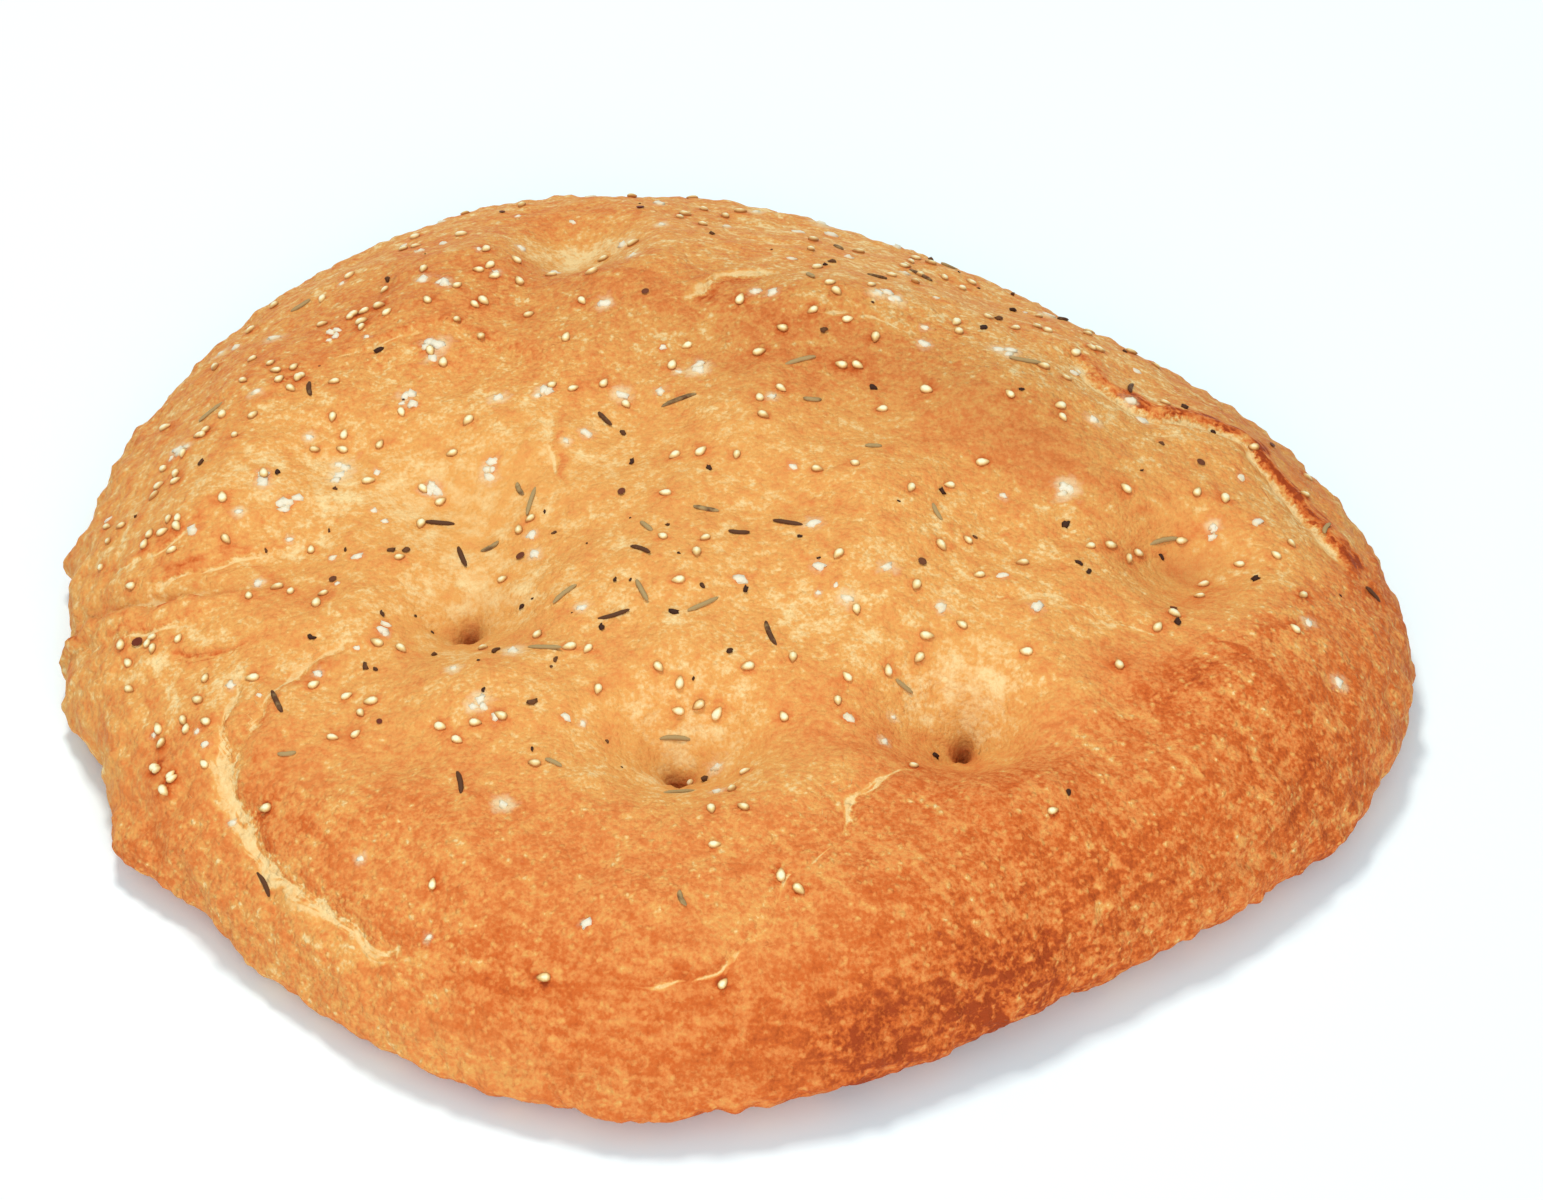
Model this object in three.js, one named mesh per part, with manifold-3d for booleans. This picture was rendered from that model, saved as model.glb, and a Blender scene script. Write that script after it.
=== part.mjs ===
// Mini focaccia: a round, hand-shaped flat bread with finger dimples and skin folds,
// scattered with sesame, coarse salt and rosemary that are baked onto its crust.
// Millimetres and degrees, +Z up. The bread rests on z = 0, its back is towards +Y,
// and a heading is an angle round +Z, counted from +X.

import * as THREE from "three";
import { mergeVertices } from "three/addons/utils/BufferGeometryUtils.js";
import Module from "manifold-3d";

const wasm = await Module();
wasm.setup();

// Outline: a circle with broad bulges, as a ball of dough spreads when it is pressed flat
const MEAN_RADIUS = 110.4;
const LOBES = [
  { count: 1, depth: 5.1, heading: 176 },
  { count: 2, depth: 4.2, heading: -28 },
  { count: 3, depth: 5.1, heading: 0 },
  { count: 4, depth: 2.4, heading: -2 },
  { count: 5, depth: 0.9, heading: -25 },
];

// Cross-section: a dome over the widest line, and a rounded edge tucked in under it. The base rests
// on a flat polygon, and from there it lifts a little towards its edge.
const WIDEST_HEIGHT = 6;
const DOME_HEIGHT = 36;
const DOME_POWER = 2.25;
const BASE_TUCK = 8;
const BASE_FLAT = { corners: 6, share: 0.66, lift: 0.3 };
const RIM_CURL = { height: 2, heading: -55, spread: 80, starts: 0.62 };

// Where the side breaks out of the outline or draws in: reach, heading, half width along the rim
const SIDE_BULGES = [
  { name: "over the blister", reach: 1.2, heading: 161, halfWidth: 6 },
  { name: "blister", reach: 2.6, heading: 171.3, halfWidth: 3.5 },
  { name: "notch of the left fold", reach: -2, heading: 180, halfWidth: 4.5 },
  { name: "lobe under the fold", reach: 1.7, heading: 189, halfWidth: 4 },
  { name: "dent", reach: -1.9, heading: 195.5, halfWidth: 4.5 },
  { name: "front left corner", reach: 3.8, heading: 208, halfWidth: 8 },
  { name: "front", reach: 1.6, heading: 262, halfWidth: 9 },
  { name: "right corner", reach: 1.4, heading: 333, halfWidth: 6 },
  { name: "right shoulder", reach: -1.5, heading: 8, halfWidth: 7 },
];
const BULGE_HEIGHT = 6;
const BULGE_HALF_HEIGHT = 5;
const BULGE_STARTS = 0.8;

// Swells and basins of the top: middle, half axes, heading of the long axis, rise
const SWELLS = [
  { name: "back crest", x: 16, y: 53, long: 50, short: 19, heading: -20, rise: 7.5 },
  { name: "right end of the crest", x: 52, y: 22, long: 26, short: 17, heading: -40, rise: 3 },
  { name: "front right", x: 34, y: -82, long: 52, short: 20, heading: 14, rise: 4 },
  { name: "front left", x: -48, y: -76, long: 34, short: 18, heading: -32, rise: 3.5 },
  { name: "left rim", x: -92, y: 8, long: 34, short: 14, heading: 82, rise: 3.5 },
  { name: "back left", x: -60, y: 58, long: 36, short: 16, heading: 38, rise: 3 },
  { name: "right rim", x: 88, y: -34, long: 34, short: 15, heading: 68, rise: 4 },
  { name: "middle", x: 12, y: 2, long: 30, short: 20, heading: 60, rise: 2.5 },
  { name: "left basin", x: -52, y: -4, long: 30, short: 24, heading: 10, rise: -4.5 },
  { name: "front basin", x: 12, y: -46, long: 42, short: 12, heading: 4, rise: -3 },
  { name: "right basin", x: 72, y: -8, long: 24, short: 14, heading: -10, rise: -3.5 },
];

// Finger dimples: a soft bowl, and where the finger went deep a narrow hole at its bottom
const DIMPLES = [
  { name: "left", x: -45, y: -20, radius: 12, bowl: 5.5, hole: 6 },
  { name: "front", x: -10, y: -54, radius: 12, bowl: 6, hole: 6 },
  { name: "front right", x: 37, y: -45, radius: 12, bowl: 6, hole: 6 },
  { name: "back", x: -28, y: 76, radius: 10.5, bowl: 7.5, hole: 0 },
  { name: "right", x: 75, y: -3, radius: 10, bowl: 4, hole: 0 },
  { name: "middle left", x: -47, y: 8, radius: 12, bowl: 2.5, hole: 0 },
];
const BOWL_LIP = { share: 0.12, at: 1.5, spread: 0.6 };
const RELIEF_FADE = 10;

// A dimple's hole: its radius, and its profile from the bottom up in shares of radius and depth
const HOLE_RADIUS = 3.2;
const HOLE_PROFILE = [[0, -1], [0.45, -0.9], [0.8, -0.4], [1.25, 0.2], [0, 0.4]];

// Deep folds of the skin, each a groove along a curve through a few points
const FOLDS = [
  {
    name: "right rim fold",
    radius: 1.5,
    points: [[57, 46], [63, 36], [70, 31], [83, 31], [90, 24], [97, 13], [104, 0]],
  },
  {
    name: "left tear",
    radius: 1.3,
    points: [[-84, -40], [-84, -47], [-81, -59], [-76, -69], [-68, -78], [-56, -88]],
  },
  {
    name: "left fold",
    radius: 1.5,
    points: [[-122, -4], [-112, -8], [-104, -10], [-96, -12], [-80, -11]],
  },
];
const FOLD_QUARTERS = 3;
const FOLD_STEP = 5;

// Uneven lumps of the dough, as a sum of plane waves
const LUMPS = { seed: 11, waves: 12, shortest: 22, longest: 45, rise: 0.24 };

// Toppings: how many are scattered, how many of the largest are solid here, and their sizes
const TOPPINGS = [
  { kind: "rosemary", seed: 21, count: 46, solid: 32, least: 3.0, most: 6.6, width: 1.0, thick: 0.8 },
  { kind: "salt", seed: 22, count: 105, solid: 20, least: 1.2, most: 2.8, width: 0.85, thick: 0.6 },
  { kind: "sesame", seed: 23, count: 175, solid: 32, least: 2.0, most: 2.6, width: 0.64, thick: 0.42 },
];
const SCATTER_HALF_SIDE = 120;
const SCATTER_EDGE = 0.95;
const DRAWS_EACH = 6;
const BARE_FRONT = { slant: 0.45, from: -82, to: -30, least: 0.1 };
const HERB_HEAP = { x: -30, y: -22, spread: 34, elsewhere: 0.3 };
const NEEDLE_REACH = 0.3;
const GRAIN_REACH = 0.5;
const LARGEST_TILT = 17;
const SEAT_SHARE = 0.12;

// Shapes of one topping, 1 long: a needle's butt and tip, its bow, a seed's taper, a grain's radius
const NEEDLE = { butt: 0.5, tip: 0.38, sides: 5, bow: 0.5 };
const SEED = { radius: 0.5, taper: 0.6 };
const GRAIN_RADIUS = 0.55;

// Fineness of the faceted surface
const RINGS = 26;
const EDGE_ROWS = 4;
const HOLE_SIDES = 10;
const PROFILE_SAMPLES = 2000;

const radians = THREE.MathUtils.degToRad;

function smoothStep(from, to, value) {
  const t = THREE.MathUtils.clamp((value - from) / (to - from), 0, 1);
  return t * t * (3 - 2 * t);
}

// Even random numbers from 0 to 1: a counter stepped by an odd constant, then scrambled.
function randomDraws(seed) {
  let counter = seed >>> 0;
  return () => {
    counter = (counter + 0x6d2b79f5) >>> 0;
    let t = Math.imul(counter ^ (counter >>> 15), 1 | counter);
    t = (t + Math.imul(t ^ (t >>> 7), 61 | t)) ^ t;
    return ((t ^ (t >>> 14)) >>> 0) / 4294967296;
  };
}

function outlineRadius(theta) {
  return LOBES.reduce(
    (radius, lobe) => radius + lobe.depth * Math.cos(lobe.count * (theta - radians(lobe.heading))),
    MEAN_RADIUS,
  );
}

// The dome's height where the distance from the middle is rho times the outline's: a superellipse.
function domeHeight(rho) {
  const share = Math.max(0, 1 - rho ** DOME_POWER) ** (1 / DOME_POWER);
  return WIDEST_HEIGHT + (DOME_HEIGHT - WIDEST_HEIGHT) * share;
}

// How far the rim curls up off the tray: most at one heading, nothing beyond its spread.
function rimCurl(rho, theta) {
  const turn = Math.acos(Math.cos(theta - radians(RIM_CURL.heading)));
  const side = Math.cos(Math.min(1, turn / radians(RIM_CURL.spread)) * (Math.PI / 2)) ** 2;
  return RIM_CURL.height * side * smoothStep(RIM_CURL.starts, 1, rho);
}

// How far the side reaches beyond the outline at a heading and height: a Gaussian for each bulge.
function sideBulge(theta, z) {
  const upward = (z - BULGE_HEIGHT) / BULGE_HALF_HEIGHT;
  return SIDE_BULGES.reduce((reach, bulge) => {
    const turn = theta - radians(bulge.heading);
    const across = (MEAN_RADIUS * Math.atan2(Math.sin(turn), Math.cos(turn))) / bulge.halfWidth;
    return reach + bulge.reach * Math.exp(-across * across - upward * upward);
  }, 0);
}

const lumpWaves = (() => {
  const draw = randomDraws(LUMPS.seed);
  return Array.from({ length: LUMPS.waves }, () => {
    const heading = 2 * Math.PI * draw();
    const wavelength = LUMPS.shortest + (LUMPS.longest - LUMPS.shortest) * draw();
    return { heading, number: (2 * Math.PI) / wavelength, phase: 2 * Math.PI * draw() };
  });
})();

// Swells, basins, dimple bowls with their faint raised lips, and lumps, as a rise over the dome.
function relief(x, y) {
  let rise = 0;
  for (const swell of SWELLS) {
    const [cos, sin] = [Math.cos(radians(swell.heading)), Math.sin(radians(swell.heading))];
    const u = ((x - swell.x) * cos + (y - swell.y) * sin) / swell.long;
    const v = ((y - swell.y) * cos - (x - swell.x) * sin) / swell.short;
    rise += swell.rise * Math.exp(-u * u - v * v);
  }
  for (const dimple of DIMPLES) {
    const share = Math.hypot(x - dimple.x, y - dimple.y) / dimple.radius;
    const lip = (share - BOWL_LIP.at) / BOWL_LIP.spread;
    rise += dimple.bowl * (BOWL_LIP.share * Math.exp(-lip * lip) - Math.exp(-share * share));
  }
  for (const wave of lumpWaves) {
    const along = x * Math.cos(wave.heading) + y * Math.sin(wave.heading);
    rise += LUMPS.rise * Math.cos(wave.number * along + wave.phase);
  }
  return rise;
}

function topHeight(rho, theta) {
  const reach = rho * outlineRadius(theta);
  const rise = relief(reach * Math.cos(theta), reach * Math.sin(theta));
  return domeHeight(rho) + rimCurl(rho, theta) + (1 - rho ** RELIEF_FADE) * rise;
}

// Shares of the radius that lie evenly along the dome's profile, from the middle to the rim.
function ringShares() {
  const samples = PROFILE_SAMPLES;
  const lengths = [0];
  for (let i = 1; i <= samples; i++) {
    const [inner, outer] = [(i - 1) / samples, i / samples];
    const step = Math.hypot((outer - inner) * MEAN_RADIUS, domeHeight(outer) - domeHeight(inner));
    lengths.push(lengths[i - 1] + step);
  }
  const shares = [];
  for (let ring = 0, i = 0; ring <= RINGS; ring++) {
    while (i < samples && lengths[i] < (lengths[samples] * ring) / RINGS) i++;
    shares.push(i / samples);
  }
  return shares;
}

// The bare bread. Its top is rings of 6, 12, 18 and so on points, whose triangles are about equal;
// the last ring goes on down the rounded edge to the corners of the flat base.
function breadGeometry() {
  const points = [];
  const triangles = [];
  const ringStart = [];
  const place = (radius, theta, z) => {
    const nearRim = smoothStep(BULGE_STARTS, 1, radius / outlineRadius(theta));
    const reach = radius + sideBulge(theta, z) * nearRim;
    points.push(reach * Math.cos(theta), reach * Math.sin(theta), z);
  };
  ringShares().forEach((rho, ring) => {
    ringStart.push(points.length / 3);
    const count = Math.max(1, 6 * ring);
    for (let i = 0; i < count; i++) {
      const theta = (2 * Math.PI * i) / count;
      place(rho * outlineRadius(theta), theta, topHeight(rho, theta));
    }
  });
  for (let ring = 1; ring <= RINGS; ring++) {
    const outer = (i) => ringStart[ring] + (i % (6 * ring));
    const inner = (i) => ringStart[ring - 1] + (ring > 1 ? i % (6 * (ring - 1)) : 0);
    for (let sector = 0; sector < 6; sector++) {
      for (let i = 0; i < ring; i++) {
        const [near, far] = [sector * (ring - 1) + i, sector * ring + i];
        triangles.push(inner(near), outer(far), outer(far + 1));
        if (i < ring - 1) triangles.push(inner(near), outer(far + 1), inner(near + 1));
      }
    }
  }
  const around = 6 * RINGS;
  const edgeRow = (row) => ringStart[RINGS] + row * around;
  for (let row = 1; row <= EDGE_ROWS; row++) {
    const angle = (row / EDGE_ROWS) * (Math.PI / 2);
    for (let i = 0; i < around; i++) {
      const theta = (2 * Math.PI * i) / around;
      const radius = outlineRadius(theta) - BASE_TUCK * (1 - Math.cos(angle));
      const rho = radius / outlineRadius(theta);
      const z = BASE_FLAT.lift + (WIDEST_HEIGHT - BASE_FLAT.lift) * (1 - Math.sin(angle));
      place(radius, theta, z + rimCurl(rho, theta));
    }
  }
  for (let row = 0; row < EDGE_ROWS; row++) {
    const [upper, lower] = [edgeRow(row), edgeRow(row + 1)];
    for (let i = 0; i < around; i++) {
      const next = (i + 1) % around;
      triangles.push(upper + i, lower + i, lower + next, upper + i, lower + next, upper + next);
    }
  }
  const { corners, share } = BASE_FLAT;
  const firstCorner = points.length / 3;
  for (let i = 0; i < corners; i++) {
    const theta = (2 * Math.PI * i) / corners;
    place(share * outlineRadius(theta), theta, 0);
  }
  const nearestCorner = (i) => firstCorner + (Math.round((i * corners) / around) % corners);
  for (let i = 0; i < around; i++) {
    const [here, there] = [edgeRow(EDGE_ROWS) + i, edgeRow(EDGE_ROWS) + ((i + 1) % around)];
    const [near, next] = [nearestCorner(i), nearestCorner(i + 1)];
    triangles.push(here, next, there);
    if (near !== next) triangles.push(here, near, next);
  }
  const baseMiddle = points.length / 3;
  place(0, 0, 0);
  for (let i = 0; i < corners; i++) {
    triangles.push(baseMiddle, firstCorner + ((i + 1) % corners), firstCorner + i);
  }
  return new THREE.BufferGeometry()
    .setAttribute("position", new THREE.Float32BufferAttribute(points, 3))
    .setIndex(triangles);
}

function toSolid(geometry) {
  const bare = geometry.clone();
  for (const name of Object.keys(bare.attributes)) if (name !== "position") bare.deleteAttribute(name);
  const merged = mergeVertices(bare, 1e-4);
  return new wasm.Manifold(
    new wasm.Mesh({
      numProp: 3,
      vertProperties: new Float32Array(merged.attributes.position.array),
      triVerts: new Uint32Array(merged.index.array),
    }),
  );
}

function toGeometry(solid) {
  const mesh = solid.getMesh();
  const geometry = new THREE.BufferGeometry()
    .setAttribute("position", new THREE.BufferAttribute(mesh.vertProperties, 3))
    .setIndex(new THREE.BufferAttribute(mesh.triVerts, 1));
  geometry.computeVertexNormals();
  return geometry;
}

// The crust's point and outward direction under a place on the plan.
const breadBody = new THREE.Mesh(breadGeometry(), new THREE.MeshBasicMaterial());
function crustAt(x, y) {
  const ray = new THREE.Raycaster(new THREE.Vector3(x, y, 2 * DOME_HEIGHT), new THREE.Vector3(0, 0, -1));
  const [hit] = ray.intersectObject(breadBody);
  return hit ? { point: hit.point, normal: hit.face.normal } : null;
}

// A tapered hole from just over a dimple's bowl down past its bottom.
function dimpleHole(dimple) {
  const { point } = crustAt(dimple.x, dimple.y);
  const profile = HOLE_PROFILE.map(([r, z]) => new THREE.Vector2(r * HOLE_RADIUS, z * dimple.hole));
  const hole = new THREE.LatheGeometry(profile, HOLE_SIDES).rotateX(Math.PI / 2);
  return hole.translate(point.x, point.y, point.z);
}

// A round groove along a fold. Where the fold runs off the rim it goes on at the widest height.
function foldGroove(fold) {
  const plan = new THREE.CatmullRomCurve3(fold.points.map(([x, y]) => new THREE.Vector3(x, y, 0)));
  const steps = Math.ceil(plan.getLength() / FOLD_STEP);
  const onCrust = plan.getSpacedPoints(steps).map((at) => {
    const crust = crustAt(at.x, at.y);
    return new THREE.Vector3(at.x, at.y, crust ? crust.point.z : WIDEST_HEIGHT);
  });
  const section = new THREE.Shape().absarc(0, 0, fold.radius, 0, 2 * Math.PI);
  return new THREE.ExtrudeGeometry(section, {
    steps,
    curveSegments: FOLD_QUARTERS,
    bevelEnabled: false,
    extrudePath: new THREE.CatmullRomCurve3(onCrust),
  });
}

// How thickly toppings lie at a place, from 0 to 1: the front was left nearly bare.
function sprinkled(x, y) {
  const along = y - BARE_FRONT.slant * x;
  return BARE_FRONT.least + (1 - BARE_FRONT.least) * smoothStep(BARE_FRONT.from, BARE_FRONT.to, along);
}

// The rosemary fell mostly in one loose heap.
function herbHeap(x, y) {
  const share = Math.hypot(x - HERB_HEAP.x, y - HERB_HEAP.y) / HERB_HEAP.spread;
  return HERB_HEAP.elsewhere + (1 - HERB_HEAP.elsewhere) * Math.exp(-share * share);
}

// Places of all toppings, largest kind first. Each candidate takes the same number of draws: where
// it falls, whether it stays, how it is turned, its size and its tilt. One that would lie on another
// is dropped.
function scatterToppings() {
  const placed = [];
  const steepest = radians(LARGEST_TILT);
  for (const topping of TOPPINGS) {
    const draw = randomDraws(topping.seed);
    const isHerb = topping.kind === "rosemary";
    const reachShare = isHerb ? NEEDLE_REACH : GRAIN_REACH;
    for (let found = 0; found < topping.count; ) {
      const [a, b, stay, turn, grade, tilt] = Array.from({ length: DRAWS_EACH }, draw);
      const [x, y] = [(2 * a - 1) * SCATTER_HALF_SIDE, (2 * b - 1) * SCATTER_HALF_SIDE];
      const length = topping.least + (topping.most - topping.least) * grade;
      const reach = reachShare * length;
      const inside = Math.hypot(x, y) < SCATTER_EDGE * outlineRadius(Math.atan2(y, x));
      const wanted = sprinkled(x, y) * (isHerb ? herbHeap(x, y) : 1);
      const free = placed.every((other) => Math.hypot(x - other.x, y - other.y) > reach + other.reach);
      if (!inside || stay >= wanted || !free) continue;
      const pose = { turn: 2 * Math.PI * turn, tilt: (2 * tilt - 1) * steepest };
      placed.push({ topping, x, y, length, reach, ...pose });
      found++;
    }
  }
  return placed;
}

// A needle is a slightly bowed rod, a seed a drop, and a grain of salt a rough block.
const toppingShapes = {
  rosemary: () => {
    const { butt, tip, sides, bow } = NEEDLE;
    const needle = new THREE.CylinderGeometry(butt, tip, 1, sides, 2).rotateZ(Math.PI / 2);
    const at = needle.attributes.position;
    for (let i = 0; i < at.count; i++) {
      const end = 2 * at.getX(i);
      at.setZ(i, at.getZ(i) + bow * (0.5 - end * end));
    }
    return needle;
  },
  sesame: () => {
    const seed = new THREE.IcosahedronGeometry(SEED.radius, 0);
    const at = seed.attributes.position;
    for (let i = 0; i < at.count; i++) at.setY(i, at.getY(i) * (1 - SEED.taper * at.getX(i)));
    return seed;
  },
  salt: () => new THREE.IcosahedronGeometry(GRAIN_RADIUS, 0),
};

// One topping on the crust, about half sunk in, with its width and thickness as the table gives them.
function toppingGeometry({ topping, x, y, length, turn, tilt }) {
  const crust = crustAt(x, y);
  const isNeedle = topping.kind === "rosemary";
  const width = topping.width * (isNeedle ? 1 : length);
  const thick = topping.thick * (isNeedle ? 1 : length);
  const upright = new THREE.Quaternion().setFromUnitVectors(new THREE.Vector3(0, 0, 1), crust.normal);
  const turned = new THREE.Quaternion().setFromAxisAngle(new THREE.Vector3(0, 0, 1), turn);
  const tilted = new THREE.Quaternion().setFromAxisAngle(new THREE.Vector3(1, 0, 0), tilt);
  const placed = new THREE.Matrix4().compose(
    crust.point.clone().addScaledVector(crust.normal, SEAT_SHARE * thick),
    upright.multiply(turned).multiply(tilted),
    new THREE.Vector3(length, width, thick),
  );
  return toppingShapes[topping.kind]().applyMatrix4(placed);
}

function largestSolids(placed) {
  return TOPPINGS.flatMap((topping) =>
    placed
      .filter((piece) => piece.topping === topping)
      .sort((a, b) => b.length - a.length)
      .slice(0, topping.solid),
  );
}

// The whole loaf as one solid: the dough, less its holes and folds, with the toppings fused on.
function bakedLoaf() {
  const holes = DIMPLES.filter((dimple) => dimple.hole > 0).map(dimpleHole);
  const grooves = FOLDS.map(foldGroove);
  const dough = [...holes, ...grooves].reduce(
    (loaf, cut) => loaf.subtract(toSolid(cut)),
    toSolid(breadBody.geometry),
  );
  const topped = largestSolids(scatterToppings()).reduce(
    (loaf, piece) => loaf.add(toSolid(toppingGeometry(piece))),
    dough,
  );
  return topped.decompose().reduce((largest, body) => (body.volume() > largest.volume() ? body : largest));
}

const crust = new THREE.MeshStandardMaterial({ color: 0xe09a52, roughness: 0.6, metalness: 0 });
const loaf = new THREE.Mesh(toGeometry(bakedLoaf()), crust);
loaf.name = "focaccia";

// The origin is the middle of the base.
loaf.geometry.computeBoundingBox();
const middle = loaf.geometry.boundingBox.getCenter(new THREE.Vector3());
loaf.position.set(-middle.x, -middle.y, -loaf.geometry.boundingBox.min.z);

const focaccia = new THREE.Group();
focaccia.name = "mini_focaccia";
focaccia.add(loaf);

export default focaccia;
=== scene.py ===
"""Mini focaccia: a round flat bread with finger dimples and folds, and the seeds and herbs on its crust.

The form is worked out in millimetres and put down in metres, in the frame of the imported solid.
A heading is an angle in degrees round +Z, counted from +X. The photo's camera looks along +Y.
A band is the two values between which something fades in.
"""

import math
from collections import namedtuple

import bpy
import numpy as np
from bpy.props import FloatProperty, FloatVectorProperty, PointerProperty
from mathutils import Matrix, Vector


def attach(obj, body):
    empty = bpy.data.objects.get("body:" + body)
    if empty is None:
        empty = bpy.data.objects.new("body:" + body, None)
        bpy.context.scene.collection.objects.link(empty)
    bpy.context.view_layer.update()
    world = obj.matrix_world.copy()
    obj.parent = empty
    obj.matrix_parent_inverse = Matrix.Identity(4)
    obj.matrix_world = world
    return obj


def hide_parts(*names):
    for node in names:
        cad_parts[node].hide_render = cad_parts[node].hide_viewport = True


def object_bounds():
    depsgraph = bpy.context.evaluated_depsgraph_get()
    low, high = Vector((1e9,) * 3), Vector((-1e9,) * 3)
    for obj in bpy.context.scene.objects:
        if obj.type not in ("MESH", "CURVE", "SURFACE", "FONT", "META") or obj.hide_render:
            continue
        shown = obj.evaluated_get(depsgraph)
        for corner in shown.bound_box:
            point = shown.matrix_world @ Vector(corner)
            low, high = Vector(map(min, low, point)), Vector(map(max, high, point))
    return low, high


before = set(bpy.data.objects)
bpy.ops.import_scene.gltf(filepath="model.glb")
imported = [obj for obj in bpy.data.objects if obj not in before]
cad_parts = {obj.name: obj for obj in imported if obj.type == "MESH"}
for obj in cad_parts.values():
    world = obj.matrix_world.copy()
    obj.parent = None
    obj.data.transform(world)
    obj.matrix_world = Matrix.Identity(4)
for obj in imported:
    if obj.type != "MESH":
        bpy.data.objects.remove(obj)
CAD_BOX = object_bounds()

bl_info = {
    "name": "Mini focaccia",
    "version": (1, 0, 0),
    "blender": (4, 5, 0),
    "location": "3D View > Sidebar > Focaccia",
    "description": "Builds a hand-shaped focaccia with its toppings, and a plain stage for it",
    "category": "Add Mesh",
}

NODE = "focaccia"
BODY = "root"
MM = 0.001
TINY = 1e-9

# Outline: a circle with broad bulges, as a ball of dough spreads when it is pressed flat
Lobe = namedtuple("Lobe", "count depth heading")
LOBES = (
    Lobe(1, 5.1, 176),
    Lobe(2, 4.2, -28),
    Lobe(3, 5.1, 0),
    Lobe(4, 2.4, -2),
    Lobe(5, 0.9, -25),
)

# Cross-section: the dome's power, the band over which the flat base lifts a little towards its edge, the
# rim that curls up off the tray, and the power of rho by which the relief fades at the rim
DOME_POWER = 2.25
BASE_BAND, BASE_LIFT = (0.66, 0.93), 0.3
CURL_HEIGHT, CURL_HEADING, CURL_SPREAD, CURL_BAND = 2.0, -55, 80, (0.62, 1)
RELIEF_POWER = 10

# Where the side breaks out of the outline or draws in: reach, heading, half width along the rim
Bulge = namedtuple("Bulge", "reach heading half_width")
BULGES = (
    Bulge(1.2, 161, 6.0),
    Bulge(2.6, 171.3, 3.5),
    Bulge(-2.0, 180, 4.5),
    Bulge(1.7, 189, 4.0),
    Bulge(-1.9, 195.5, 4.5),
    Bulge(3.8, 208, 8.0),
    Bulge(1.6, 262, 9.0),
    Bulge(1.4, 333, 6.0),
    Bulge(-1.5, 8, 7.0),
)
BULGE_HEIGHT, BULGE_HALF_HEIGHT, BULGE_BAND = 6.0, 5.0, (0.8, 1)

# Swells and basins of the top: middle, half axes, heading of the long axis, rise
Swell = namedtuple("Swell", "x y long short heading rise")
SWELLS = (
    Swell(16, 53, 50, 19, -20, 7.5),
    Swell(52, 22, 26, 17, -40, 3.0),
    Swell(34, -82, 52, 20, 14, 4.0),
    Swell(-48, -76, 34, 18, -32, 3.5),
    Swell(-92, 8, 34, 14, 82, 3.5),
    Swell(-60, 58, 36, 16, 38, 3.0),
    Swell(88, -34, 34, 15, 68, 4.0),
    Swell(12, 2, 30, 20, 60, 2.5),
    Swell(-52, -4, 30, 24, 10, -4.5),
    Swell(12, -46, 42, 12, 4, -3.0),
    Swell(72, -8, 24, 14, -10, -3.5),
)

# Finger dimples: a soft bowl with a faint lip, and where the finger went deep a funnel with a narrow hole
# at its bottom, which is no true circle, and puckers round it. The lip is counted in the bowl's radius
Dimple = namedtuple("Dimple", "x y radius bowl hole")
DIMPLES = (
    Dimple(-45, -20, 12, 5.5, 6),
    Dimple(-10, -54, 12, 6.0, 6),
    Dimple(37, -45, 12, 6.0, 6),
    Dimple(-28, 76, 10.5, 7.5, 0),
    Dimple(75, -3, 10, 4.0, 0),
    Dimple(-47, 8, 12, 2.5, 0),
)
HOLE_RADIUS, HOLE_POWER, FUNNEL_RADIUS, FUNNEL_SHARE = 1.5, 3, 2.8, 0.72
HOLE_OVAL, HOLE_CORNERS = 0.18, 0.12
PUCKERS, PUCKER_SWAY, PUCKER_RISE, PUCKER_RADIUS = 7, 3, 0.3, 5.0
LIP_SHARE, LIP_RADIUS, LIP_WIDTH = 0.12, 1.5, 0.6

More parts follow.
